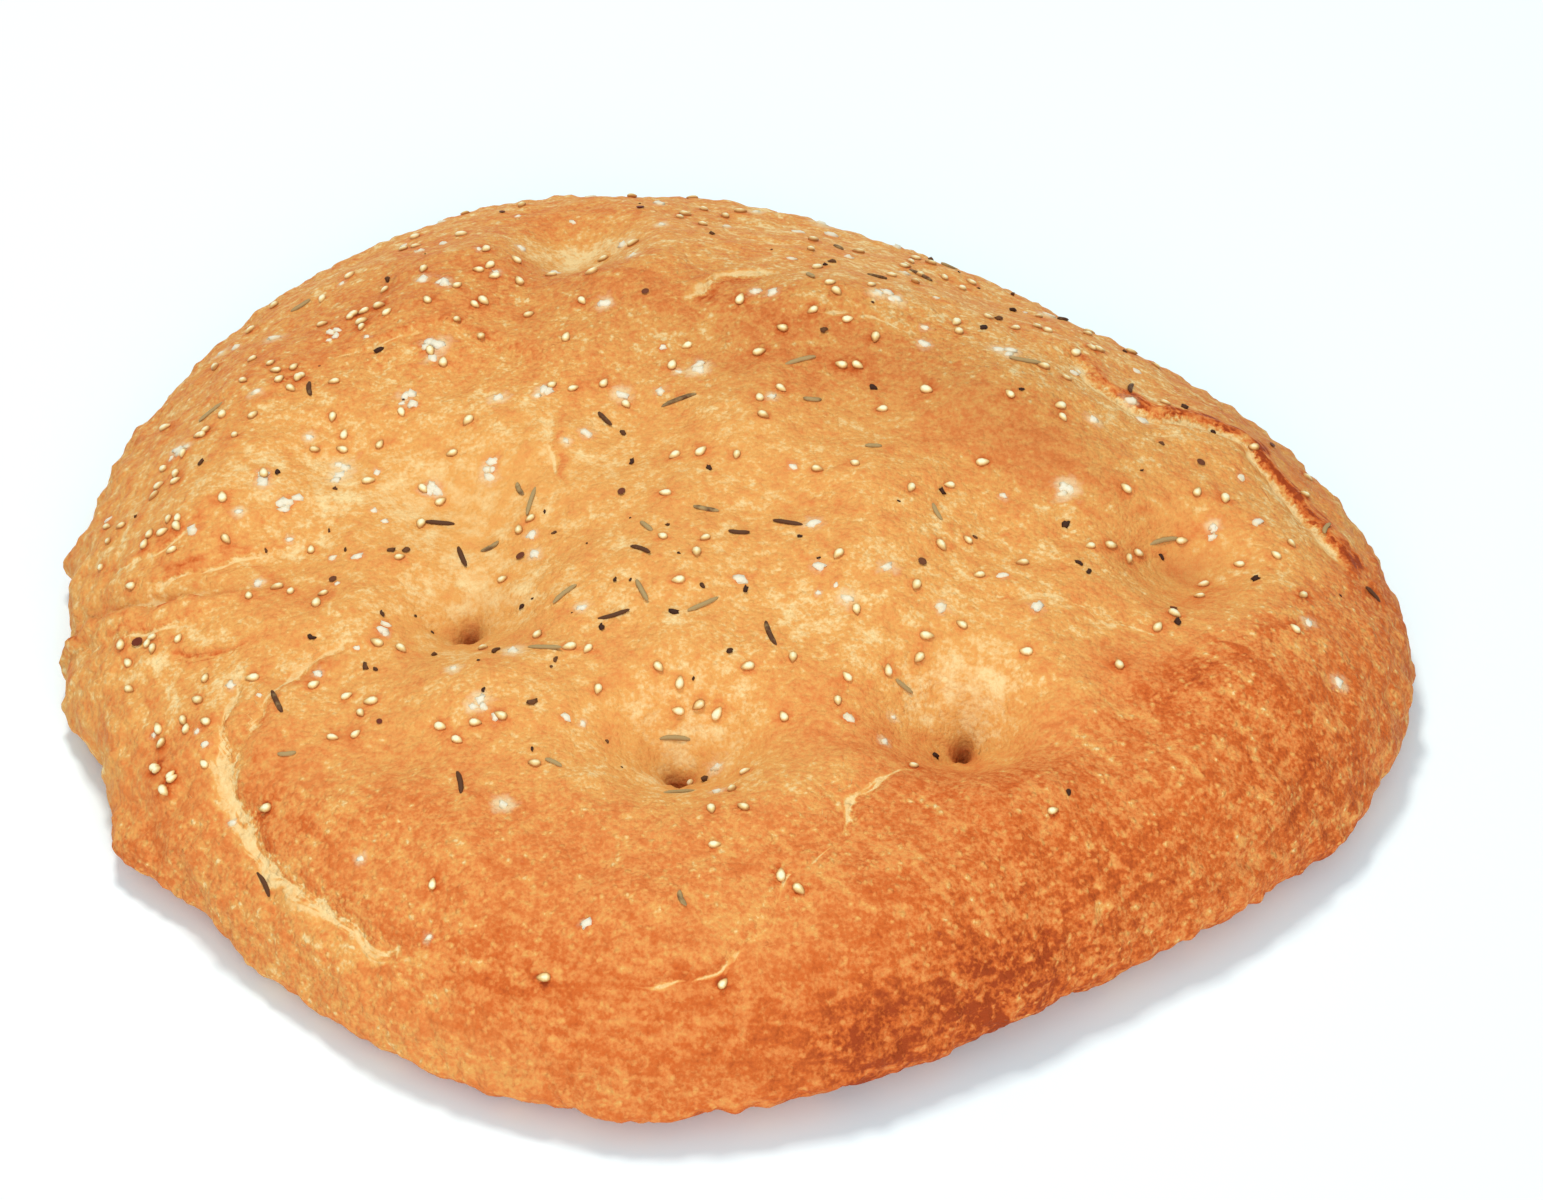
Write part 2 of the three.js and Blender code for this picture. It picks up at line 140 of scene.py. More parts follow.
# Folds and wrinkles of the skin, along curves through a few points of the plan: the groove's width and
# depth, how far the left-hand skin stands over the right-hand one, how pale the groove is (or, where below
# 0, how dark its line is painted as the shade in a crack), how brown the skin beside it is on the left (or
# on the right, where below 0), partly scorched and partly painted shade, and over what share of its length
# each end fades
Fold = namedtuple("Fold", "width depth step pale scorch ends points")
FOLDS = (
    Fold(1.0, 1.0, 0.9, 1.0, 0.52, (0.15, 0.15),
         ((57, 46), (63, 36), (70, 31), (83, 31), (90, 24), (97, 13), (104, 0), (103, -6))),
    Fold(0.6, 0.3, 0.1, 0.55, 0.0, (0.3, 0.3), ((68, 24), (75, 26), (84, 26))),
    Fold(0.9, 0.5, 0.3, 0.75, 0.15, (0.3, 0.1), ((-62, -25), (-69, -30), (-77, -39), (-81, -47))),
    Fold(1.0, 0.5, 0.2, 0.8, 0.0, (0.3, 0.05), ((-82, -33), (-84, -40), (-85, -45), (-83, -50))),
    Fold(2.0, 0.9, 0.4, 1.0, 0.10, (0.1, 0.35),
         ((-84, -44), (-83, -53), (-81, -59), (-76, -69), (-68, -78), (-58, -87), (-46, -93))),
    Fold(1.0, 2.0, -1.3, 0.55, -0.22, (0.0, 0.5),
         ((-122, -4), (-112, -8), (-104, -10), (-96, -12), (-88, -13), (-80, -11), (-72, -10))),
    Fold(1.2, 1.0, 0.7, 0.1, 0.10, (0.0, 0.5), ((-122, -8), (-113, -10), (-108, -14), (-104, -19))),
    Fold(0.4, 0.4, 0.5, -0.7, 0.08, (0.2, 0.4), ((-96, -24), (-91, -25), (-85, -25), (-80, -23))),
    Fold(0.7, 0.3, 0.3, 0.7, 0.22, (0.2, 0.4), ((-112, -14), (-101, -17), (-92, -18), (-84, -17))),
    Fold(0.7, 0.3, 0.3, 0.7, 0.22, (0.2, 0.4), ((-102, -6), (-94, -7), (-87, -6), (-78, -3), (-70, -2))),
    Fold(0.6, 0.2, 0.2, 0.6, 0.18, (0.3, 0.4), ((-110, 1), (-102, -1), (-94, 2), (-88, 7))),
    Fold(0.7, 0.3, 0.3, 0.5, 0.05, (0.3, 0.2), ((-20, -101), (-5, -99), (3, -93), (7, -88))),
    Fold(0.7, 0.2, 0.2, 0.4, 0.0, (0.3, 0.3), ((4, -90), (9, -82), (16, -76))),
    Fold(1.0, 0.3, 0.2, 0.8, 0.05, (0.2, 0.3), ((28, -58), (23, -63), (18, -69), (16, -77))),
    Fold(1.8, 0.2, 0.2, 0.45, 0.0, (0.3, 0.3), ((36, -22), (44, -20), (54, -20), (64, -23), (76, -30))),
    Fold(0.8, 0.5, 0.5, 0.9, -0.2, (0.3, 0.3), ((-12, 52), (-7, 53), (-4, 57), (2, 58), (8, 58))),
    Fold(1.0, 0.3, 0.2, 0.6, 0.0, (0.3, 0.3), ((-6, 88), (0, 80), (8, 75), (20, 73))),
    Fold(0.7, 0.3, 0.2, 0.6, 0.0, (0.3, 0.3), ((10, 47), (19, 45), (28, 43), (34, 41))),
    Fold(0.7, 0.3, 0.4, 0.35, 0.16, (0.3, 0.3),
         ((-76, 43), (-68, 45), (-60, 48), (-53, 51), (-46, 47), (-39, 43), (-30, 38))),
    Fold(0.6, 0.3, 0.2, 0.5, 0.2, (0.3, 0.4), ((-31, 30), (-32, 22), (-31, 14), (-29, 4))),
)

# Steps between a fold's points, where its ends fade from, how its width varies, and its step's reach
CURVE_STEPS, FOLD_END, FOLD_UNEVEN, STEP_WIDTHS = 12, -0.01, 0.4, 4

# Uneven lumps of the dough, as plane waves, the finer unevenness of the skin and of its edge, how folds
# wander, how far a fold reaches in widths, and the streaks along the rim
Ripple = namedtuple("Ripple", "seed waves shortest longest rise")
LUMPS = Ripple(11, 12, 22, 45, 0.24)
SKIN_RIPPLES = (Ripple(31, 60, 8, 20, 0.14), Ripple(32, 80, 3, 8, 0.09))
EDGE_RIPPLES = (Ripple(33, 90, 2, 6, 0.2), Ripple(34, 40, 6, 16, 0.22))
SKIN_HEIGHT_BAND, EDGE_HEIGHT_BAND, EDGE_BAND = (0, 2), (0, 3), (0.86, 1)
WANDER, MOST_WANDER = Ripple(41, 60, 3, 12, 0.7), 1.5
WOBBLE_X, WOBBLE_Y = Ripple(42, 40, 5, 18, 0.5), Ripple(43, 40, 5, 18, 0.5)
SEAM_REACH, SEAM_BAND = 5.0, (0.7, 1)
STREAK_RADIUS, STREAK_BAND = 36, (0.6, 0.95)

# Browning, from 0 for pale dough to 1 for burnt: what lies in front of the border is browner. Painted
# shade is added to it in each hole and its funnel, and in a ring round each seed and salt grain
BAKE_PLAIN, BAKE_FRONT, BAKE_SIDE, HOLE_SHADE_TONE, FUNNEL_SHADE_TONE = 0.305, 0.245, 0.04, 0.6, 0.06
# Painted contact shade: a darker ring of crust round each sesame seed and salt grain, how far it reaches in
# half lengths, and how sharply it ends
SEED_SHADE_TONE, SEED_SHADE_REACH, SEED_SHADE_POWER = 0.24, 1.35, 4
FRONT_BORDER, FRONT_BORDER_RIGHT, FRONT_BORDER_LEFT, FRONT_BAND = -59, 0.0062, 0.0015, (0, 14)
SIDE_BAND, UNDER_BAND, FUNNEL_WIDTHS = (0.9, 1), (0.2, 4), 2
BAKE_ZONES = (
    Swell(3, 47, 22, 7, -30, 0.24),
    Swell(-28, 58, 18, 12, 0, 0.12),
    Swell(2, 32, 24, 8, -5, 0.08),
    Swell(47, 60, 18, 10, -40, 0.08),
    Swell(-40, 88, 22, 7, 20, 0.08),
    Swell(46, 17, 26, 10, -38, 0.22),
    Swell(18, 33, 10, 5, -20, 0.10),
    Swell(-57, 63, 50, 20, 35, 0.17),
    Swell(-11, -103, 36, 9, -6, 0.12),
    Swell(56, -80, 48, 22, 30, 0.21),
    Swell(40, -94, 14, 6, 25, 0.18),
    Swell(20, -103, 10, 5, 10, 0.18),
    Swell(93, -47, 16, 11, 60, 0.14),
    Swell(108, -6, 24, 7, 88, 0.10),
    Swell(92, 32, 28, 6, -56, 0.20),
    Swell(-98, -45, 12, 8, 70, 0.15),
    Swell(-74, -55, 12, 6, 100, 0.08),
    Swell(-80, -15, 10, 4, 10, 0.10),
    Swell(58, 36, 8, 5, -40, -0.20),
    Swell(-81, 10, 9, 6, 0, -0.12),
    Swell(-96, -22, 10, 6, 0, -0.08),
    Swell(83, -24, 18, 12, 30, 0.08),
    Swell(76, -40, 22, 12, 10, 0.08),
    Swell(84, -70, 10, 8, 40, -0.08),
    Swell(7, 31, 12, 8, 0, 0.06),
    Swell(-88, -46, 12, 8, 60, 0.08),
    Swell(-54, -55, 16, 8, -20, 0.10),
    Swell(-40, -95, 16, 7, -15, 0.10),
    Swell(24, -54, 18, 9, -20, 0.27),
    Swell(66, -35, 14, 8, 20, 0.20),
    Swell(-11, -68, 15, 8, 0, -0.14),
    Swell(1, -92, 10, 7, 30, -0.10),
    Swell(-61, 15, 36, 18, -12, -0.10),
    Swell(-5, -21, 26, 14, 0, -0.05),
    Swell(26, -30, 20, 10, -10, -0.05),
    Swell(39, -39, 13, 8, 0, -0.16),
    Swell(-5, -48, 13, 8, 0, -0.16),
    Swell(-88, -34, 10, 6, 10, -0.12),
    Swell(-74, -80, 26, 9, -44, -0.17),
    Swell(-47, -106, 16, 6, -28, -0.22),
    Swell(-44, -13, 13, 8, 0, -0.16),
    Swell(-29, 78, 11, 7, 0, -0.36),
    Swell(-110, 18, 10, 6, 80, 0.06),
)

# Painted shade: where the crust is dimmed beyond its browning, on the crest and to its right, at the back
# and in the right dimple
PAINTED_SHADE_ZONES = (
    Swell(8, 42, 50, 17, -20, 0.15),
    Swell(48, 18, 26, 11, -38, 0.12),
    Swell(92, 32, 28, 6, -56, 0.08),
    Swell(-57, 63, 50, 20, 35, 0.04),
    Swell(75, -5, 6, 4, 0, 0.14),
)
# Painted shade in the holes: the hole's depth over the deepest one, and how far each hole and its funnel
# are dimmed
DEEPEST_HOLE, HOLE_SHADE_DIMMING, FUNNEL_SHADE_DIMMING = 6, 0.5, 0.15

# How grainy the crust is: more in front and at the back, less in the stretched bowls, at the middle left
# and along the low front
GRAIN_PLAIN, GRAIN_FRONT, GRAIN_BACK, GRAIN_BOWL = 0.74, 0.26, 0.26, 0.45
GRAIN_BACK_BAND = (15, 45)
CALM_ZONES = (Swell(-35, 5, 60, 45, 0, -0.22), Swell(0, -104, 60, 12, 0, -0.32))

# Where the skin is drawn out into long slanting marks
DRAWN_PLAIN = 0.2
DRAWN_ZONES = (Swell(72, -18, 46, 34, -30, 0.5), Swell(-92, -8, 30, 22, 20, 0.3))

# Dust round a salt grain: how far it reaches in grain lengths, how thick it lies, and how much both vary
DUST_REACH, DUST_REACH_VARIES, DUST, DUST_VARIES = 0.85, 0.25, 0.62, 0.28

# Toppings: how they are drawn and where they lie
Topping = namedtuple("Topping", "seed count least most reach herb")
SCATTER_HALF_SIDE, SCATTER_EDGE, DRAWS_EACH, MOST_TRIES = 120, 0.95, 6, 6000
BARE_SLANT, BARE_BAND, BARE_LEAST = 0.45, (-82, -30), 0.1
HEAP_X, HEAP_Y, HEAP_SPREAD, HEAP_ELSEWHERE = -30, -22, 34, 0.3
TOPPINGS = {
    "rosemary": Topping(21, 46, 3.0, 6.6, 0.3, True),
    "salt": Topping(22, 105, 1.2, 2.8, 0.5, False),
    "sesame": Topping(23, 215, 2.0, 2.6, 0.5, False),
    "pepper": Topping(24, 85, 0.4, 1.8, 0.5, True),
    "flakes": Topping(25, 12, 1.1, 2.1, 0.5, True),
}

# More of some kinds in clumps: finer salt part melted into the crust, and loose handfuls of seeds
Clump = namedtuple("Clump", "seed each spread least most middles")
CLUMP_DRAWS = 5
CLUMPS = {
    "salt": Clump(26, 4, 2.4, 1.2, 2.6, (
        (55, 6), (-81, 12), (-77, 8), (-42, 14), (-52, 12), (-54, 44), (-59, -24), (-41, -47), (-8, 36),
        (47, 37), (-33, 31), (-68, 16), (81, 3), (26, 51), (-58, 32), (-96, 26), (-70, 52), (-52, 62),
    )),
    "sesame": Clump(27, 7, 11.0, 2.0, 2.6, (
        (-98, -22), (-98, 2), (-92, 26), (-80, 40), (-66, 56), (-46, 66), (-92, -44), (58, 54), (30, 74),
    )),
}

# How each kind is made: its piece and slot, rows and columns of points on each one, the share of its
# thickness that sinks into the crust, the seed of its tones, and the share of a tone that its edge sets,
# which on a sesame seed darkens its sides, partly as toasting and partly as painted shade, and on a salt
# grain gives its melted edge
Kind = namedtuple("Kind", "piece slot rows columns sink seed edge")
KINDS = {
    "sesame": Kind("sesame_seeds", "sesame", 6, 8, 0.3, 51, 0.75),
    "salt": Kind("salt_grains", "salt", 5, 7, 0.6, 53, 0.7),
    "rosemary": Kind("rosemary_needles", "rosemary", 8, 6, 0.25, 54, 0.0),
    "pepper": Kind("pepper_bits", "pepper", 4, 6, 0.3, 56, 0.0),
    "flakes": Kind("red_flakes", "pepper", 6, 10, 0.1, 57, 0.0),
}

# What each kind looks like: its finish, roughness, noise in waves a metre and metres deep, and the tones
# at which its colours lie
Look = namedtuple("Look", "finish roughness waves depth stops")
LOOKS = {
    "sesame": Look("sesame", 0.45, 900, 0.0001, (0.25, 0.55, 0.9)),
    "salt": Look("salt", 0.5, 1500, 0.0002, (0.45, 1.0)),
    "rosemary": Look("rosemary", 0.65, 700, 0.0002, (0.3, 0.48)),
    "pepper": Look("pepper", 0.7, 1800, 0.0002, (0.45, 1.0)),
    "flakes": Look("flake", 0.55, 1200, 0.0002, (0.0, 1.0)),
}
TOPPING_DETAIL, TOPPING_TONE, TOPPING_ROUGHNESS, TOPPING_GLOSS = 3, 0.5, 0.3, 0.15

# Shapes of the toppings: sizes over the length, how much a seed narrows, how lumpy grains are and the
# seeds of their lumps, how blunt and bowed a needle is, and how cupped a flake
SEED_TAPER, SEED_BLUNT = 0.32, 0.12
SALT_SIZE, SALT_LUMPS, SALT_SEED = (1, 0.8, 0.42), 0.35, 52
PEPPER_SIZE, PEPPER_LUMPS, PEPPER_SEED = (1, 0.65, 0.55), 0.45, 55
NEEDLE_POWER, NEEDLE_BOW, NEEDLE_BOW_MIDDLE, LEAST_GIRTH = 8, 0.9, 0.4, 1e-6
FLAKE_SIZE, FLAKE_CUP = (1, 0.85, 0.18), 1.2

# Noises of the crust: waves in a metre, detail, and how far they move the tone and the relief
Noise = namedtuple("Noise", "waves detail tone relief", defaults=(0,))
BLOTCHES, PATCHES, MOTTLE = Noise(60, 4, 0.45), Noise(190, 3, 0.6), Noise(360, 2, 0.4)
SPECKS, FINE = Noise(800, 2, 0.58, 0.5), Noise(1800, 2, 0.48, 0.4)
MARKS, STREAKS = Noise(320, 2, 0.9, 0.2), Noise(400, 1, 0.6, 0.4)
DASHES, STRANDS, UNDERSIDE = Noise(380, 1, 0.3), Noise(1000, 2, 0.3), Noise(90, 5, 0.9)
NOISE_MEAN = 0.5

# How many times as long as wide stretch marks, dashes and torn strands are, and their headings
MARK_STRETCH, DASH_STRETCH, STRAND_STRETCH = (4, -40), (3.5, -42), (5, 0)

# Blotches fade on brown crust, specks grow with the grain, and tones far over the bake are held back
BLOTCH_PALE, BLOTCH_BROWN, SPECK_LEAST, SPECK_GRAIN = 0.95, 0.6, 0.18, 1.1
DARK_FROM, DARK_SLACK, DARK_CUT, UNDERSIDE_DARKER = 0.5, 0.08, 0.55, 0.15

# Pale dots in the middles of uneven cells, pale dashes, both stronger on brown crust, and grit
CELLS, CELL_SHIFT, DOT_BAND, CELL_BAND = 700, 0.0014, (0.1, 0.5), (0.35, 0.65)
DOT_PALE, DOT_BROWN, DOT_RELIEF, DASH_PALE, DASH_BAND = 0.1, 0.4, 0.5, 0.03, (0.04, 0.2)
GRIT, GRIT_MEAN, GRIT_TONE, GRIT_RELIEF = 1300, 0.45, 0.14, 0.3

# Folds: how noise frays them, the skin beside them, browner as scorch and as painted shade, and their torn
# line or the painted shade of a crack along it
FRAY_SPECKS, FRAY_FINE, TEAR_SHIFT = 1.4, 1.0, 0.5
SINGE_AND_SHADE_BAND, SINGE_AND_SHADE_END_BAND, SINGE_AND_SHADE, SINGE_AND_SHADE_STRANDS, SINGE_AND_SHADE_PATCHES = (0.2, 1.0), (2.2, 5.0), 0.9, 3, 1.5
TEAR, TEAR_STRANDS, TEAR_BAND, TEAR_RELIEF = 0.8, 2.6, (0.2, 0.8), 0.5
TORN_TONE, TORN_SPECKS, CRACK_SHADE_TONE = 0.03, 0.4, 0.6

# Tones at which the crust's colours lie, how noise breaks up the salt dust, and roughness, gloss and relief
TONE_STOPS = (0.0, 0.25, 0.55, 0.8, 1.0)
DUST_SPECKS, DUST_MOTTLE, DUST_BAND, DUST_SHARE = 0.7, 0.5, (0.2, 0.85), 0.8
CRUST_ROUGHNESS, ROUGHNESS_GRAIN, ROUGHNESS_FINE, CRUST_GLOSS = 0.56, 0.1, 0.2, 0.1
CRUST_DEPTH, CRUST_BUMP = 0.0006, 0.7

# Fineness of the loaf's mesh, and of the lines that its outline and profile are measured along
TOP_CELLS = 280
EDGE_ROWS = 10
BASE_SHARES = (0.8, 0.72, 0.66, 0.4, 0.2)
OUTLINE_STEPS, PROFILE_STEPS = 3600, 2001

# The photo's frame and camera
PHOTO_WIDTH, PHOTO_HEIGHT = 1543, 1200
PHOTO_MIDDLE_X, PHOTO_MIDDLE_Y = 731, 583
BREAD_WIDTH_PIXELS = 1359

# The stage in metres: half the floor's side, and how far it lies under the base, so that the two never
# share a plane, soft lights behind the bread and beside the camera, and a height above all toppings
FLOOR_REACH, FLOOR_DROP, FLOOR_ROUGHNESS, FLOOR_GLOSS = 6.0, 0.0001, 0.9, 0.1
FLOOR_CORNERS = ((-1, -1), (1, -1), (1, 1), (-1, 1))
Light = namedtuple("Light", "spot size colour")
KEY = Light((-0.15, 0.30, 1.0), 0.2, (0.97, 0.96, 0.91))
FILL = Light((0.08, -1.1, 0.5), 0.9, (1.0, 1.0, 1.03))
LIGHT_TARGET = (0, 0, 0.02)
SKY_COLOUR = (0.80, 1.01, 1.11)
OVERHEAD = 0.1


def smooth_step(low, high, value):
    """0 below low, 1 above high, and 3t^2 - 2t^3 between them."""
    t = np.clip((value - low) / (high - low), 0, 1)
    return t * t * (3 - 2 * t)


def bell(share):
    """A Gaussian: e to the minus the square of a share of the half width."""
    return np.exp(-share * share)


def draws(seed, count):
    """Even random numbers from 0 to 1: a counter stepped by an odd constant, then scrambled."""
    counter = np.uint32(seed) + np.uint32(0x6D2B79F5) * np.arange(1, count + 1, dtype=np.uint32)
    t = (counter ^ (counter >> np.uint32(15))) * (counter | np.uint32(1))
    t = (t + (t ^ (t >> np.uint32(7))) * (t | np.uint32(61))) ^ t
    return (t ^ (t >> np.uint32(14))) / 4294967296.0


def swelling(x, y, swells):
    """The sum of swells: each one's rise times e to the minus the squared distance from its middle,
    counted in half axes."""
    total = 0
    for swell in swells:
        cos, sin = math.cos(math.radians(swell.heading)), math.sin(math.radians(swell.heading))
        u = ((x - swell.x) * cos + (y - swell.y) * sin) / swell.long
        v = ((y - swell.y) * cos - (x - swell.x) * sin) / swell.short
        total = total + swell.rise * np.exp(-u * u - v * v)
    return total


def ripples(points, ripple):
    """Plane waves of drawn directions, lengths and phases, summed to a spread of the ripple's rise."""
    u = draws(ripple.seed, 4 * ripple.waves).reshape(-1, 4)
    up = 2 * u[:, 0] - 1
    flat = np.sqrt(1 - up * up)
    turn = 2 * np.pi * u[:, 1]
    wave = 2 * np.pi / (ripple.shortest + (ripple.longest - ripple.shortest) * u[:, 2])
    directions = np.stack([flat * np.cos(turn), flat * np.sin(turn), up]) * wave
    total = np.cos(points @ directions + 2 * np.pi * u[:, 3]).sum(axis=1)
    return ripple.rise * math.sqrt(2 / ripple.waves) * total


def curve_through(points):
    """Points of a Catmull-Rom curve through the given points, with a few steps between each two."""
    p = np.array(points, float)
    p = np.vstack([2 * p[0] - p[1], p, 2 * p[-1] - p[-2]])
    t = (np.arange(CURVE_STEPS) / CURVE_STEPS)[None, :, None]
    a, b, c, d = (p[i:len(p) - 3 + i, None, :] for i in range(4))
    spans = 2 * b + (c - a) * t + (2 * a - 5 * b + 4 * c - d) * t**2
    spans = 0.5 * (spans + (3 * b - a - 3 * c + d) * t**3)
    return np.vstack([spans.reshape(-1, p.shape[1]), p[-2]])


def nearest_on(points, path):
    """For each point, its distance from a path, how far along the path that is, and which side it is on."""
    best = np.full(len(points), np.inf)
    along = np.zeros(len(points))
    side = np.zeros(len(points))
    lengths = np.linalg.norm(np.diff(path, axis=0), axis=1)
    before = np.concatenate([[0], np.cumsum(lengths)])
    for start, end, length, done in zip(path[:-1], path[1:], lengths, before):
        way = (end - start) / length
        t = np.clip((points - start) @ way, 0, length)
        off = points - start - t[:, None] * way
        distance = np.linalg.norm(off, axis=1)
        closer = distance < best
        best = np.where(closer, distance, best)
        along = np.where(closer, done + t, along)
        side = np.where(closer, way[0] * off[:, 1] - way[1] * off[:, 0], side)
    return best, along, np.sign(side)


def hole_distance(x, y, dimple):
    """The distance and angle from a dimple's middle, drawn out and in so that no hole is round."""
    angle = np.arctan2(y - dimple.y, x - dimple.x)
    uneven = 1 + HOLE_OVAL * np.cos(2 * angle - dimple.x) + HOLE_CORNERS * np.cos(3 * angle + dimple.y)
    return np.hypot(x - dimple.x, y - dimple.y) * uneven, angle


class Loaf:
    """The bread's form in millimetres, from its settings."""

    def __init__(self, settings):
        self.mean_radius = settings.mean_radius / MM
        self.widest_height = settings.widest_height / MM
        self.dome = settings.dome_height / MM
        self.tuck = settings.base_tuck / MM
        self.softness = settings.skin_unevenness
        theta = np.linspace(-np.pi, np.pi, OUTLINE_STEPS)
        reach = self.outline(theta) + self.side_bulge(theta, self.widest_height)
        rim = np.stack([reach * np.cos(theta), reach * np.sin(theta)])
        self.middle = np.append((rim.min(axis=1) + rim.max(axis=1)) / 2, 0)

    def outline(self, theta):
        """Mean radius plus a cosine of each lobe's count times the angle from its heading."""
        return self.mean_radius + sum(
            lobe.depth * np.cos(lobe.count * (theta - math.radians(lobe.heading))) for lobe in LOBES
        )

    def dome_height(self, rho):
        """A superellipse over the widest line, where rho is the share of the way out to the rim."""
        share = np.maximum(0, 1 - rho**DOME_POWER) ** (1 / DOME_POWER)
        return self.widest_height + (self.dome - self.widest_height) * share

    def rim_curl(self, rho, theta):
        """The rim's lift off the tray: a squared cosine round one heading, times a smooth step outwards."""
        turn = np.arccos(np.cos(theta - math.radians(CURL_HEADING)))
        side = np.cos(np.minimum(1, turn / math.radians(CURL_SPREAD)) * (np.pi / 2)) ** 2
        return CURL_HEIGHT * side * smooth_step(*CURL_BAND, rho)

    def side_bulge(self, theta, z):
        """How far the side reaches beyond the outline: for each bulge a Gaussian along the rim and up."""
        upward = (z - BULGE_HEIGHT) / BULGE_HALF_HEIGHT
        reach = 0
        for bulge in BULGES:
            turn = theta - math.radians(bulge.heading)
            across = self.mean_radius * np.arctan2(np.sin(turn), np.cos(turn)) / bulge.half_width
            reach = reach + bulge.reach * np.exp(-across * across - upward * upward)
        return reach

    def relief(self, x, y):
        """Swells, basins, dimple bowls with a faint lip, and lumps, as a rise over the dome."""
        rise = swelling(x, y, SWELLS)
        for dimple in DIMPLES:
            share = np.hypot(x - dimple.x, y - dimple.y) / dimple.radius
            lip = LIP_SHARE * bell((share - LIP_RADIUS) / LIP_WIDTH)
            rise = rise + dimple.bowl * (lip - bell(share))
        heading, length, phase = draws(LUMPS.seed, 3 * LUMPS.waves).reshape(-1, 3).T
        length = LUMPS.shortest + (LUMPS.longest - LUMPS.shortest) * length
        for h, w, p in zip(2 * np.pi * heading, length, phase):
            along = x * math.cos(h) + y * math.sin(h)
            rise = rise + LUMPS.rise * np.cos(2 * np.pi * (along / w + p))
        return rise

    def holes(self, x, y):
        """The finger holes: a pointed funnel and a flat-bottomed shaft by the distance from each dimple's
        middle, less puckers that run out from it as a cosine of the angle, strongest at one radius."""
        depth = 0
        for dimple in DIMPLES:
            away, angle = hole_distance(x, y, dimple)
            funnel = FUNNEL_SHARE * np.exp(-away / FUNNEL_RADIUS)
            shaft = (1 - FUNNEL_SHARE) * np.exp(-((away / HOLE_RADIUS) ** HOLE_POWER))
            ring = (away / PUCKER_RADIUS) ** 2 * np.exp(1 - (away / PUCKER_RADIUS) ** 2)
            pucker = PUCKER_RISE * ring * np.cos(PUCKERS * angle + np.sin(PUCKER_SWAY * angle))
            depth = depth + dimple.hole * (funnel + shaft) - (dimple.hole > 0) * pucker
        return depth

    def top(self, rho, theta):
        """The top's height: dome, curl, and the relief faded out at the rim."""
        reach = rho * self.outline(theta)
        x, y = reach * np.cos(theta), reach * np.sin(theta)
        rise = (1 - rho**RELIEF_POWER) * (self.relief(x, y) - self.holes(x, y))
        return self.dome_height(rho) + self.rim_curl(rho, theta) + rise

    def top_at(self, x, y):
        """The top's height over a place on the plan, and the widest height beyond the rim."""
        theta = np.arctan2(y, x)
        rho = np.hypot(x, y) / self.outline(theta)
        return np.where(rho < 1, self.top(np.minimum(rho, 1), theta), self.widest_height)

    def ring_share(self, rho):
        """Turns even steps from 0 to 1 into shares of the radius that lie evenly along the dome."""
        fine = np.linspace(0, 1, PROFILE_STEPS)
        steps = np.hypot(np.diff(fine) * self.mean_radius, np.diff(self.dome_height(fine)))
        length = np.concatenate([[0], np.cumsum(steps)])
        return np.interp(rho * length[-1], length, fine)

    def place(self, radius, theta, z):
        """A point at a radius, heading and height, pushed out by the bulges near the rim."""
        out = radius + self.side_bulge(theta, z) * smooth_step(*BULGE_BAND, radius / self.outline(theta))
        return np.stack([out * np.cos(theta), out * np.sin(theta), z], axis=-1)


def disc_grid(cells):
    """A square grid laid on a disc, as (rho, theta): each square ring round the middle becomes a circle."""
    line = np.linspace(-1, 1, cells + 1)
    a, b = np.meshgrid(line, line)
    wide = np.abs(a) > np.abs(b)
    long = np.where(wide, a, b)
    short = np.where(wide, b, a)
    turn = (np.pi / 4) * short / np.where(long == 0, 1, long)
    turn = np.where(wide, turn, np.pi / 2 - turn)
    return np.abs(long), np.arctan2(long * np.sin(turn), long * np.cos(turn))


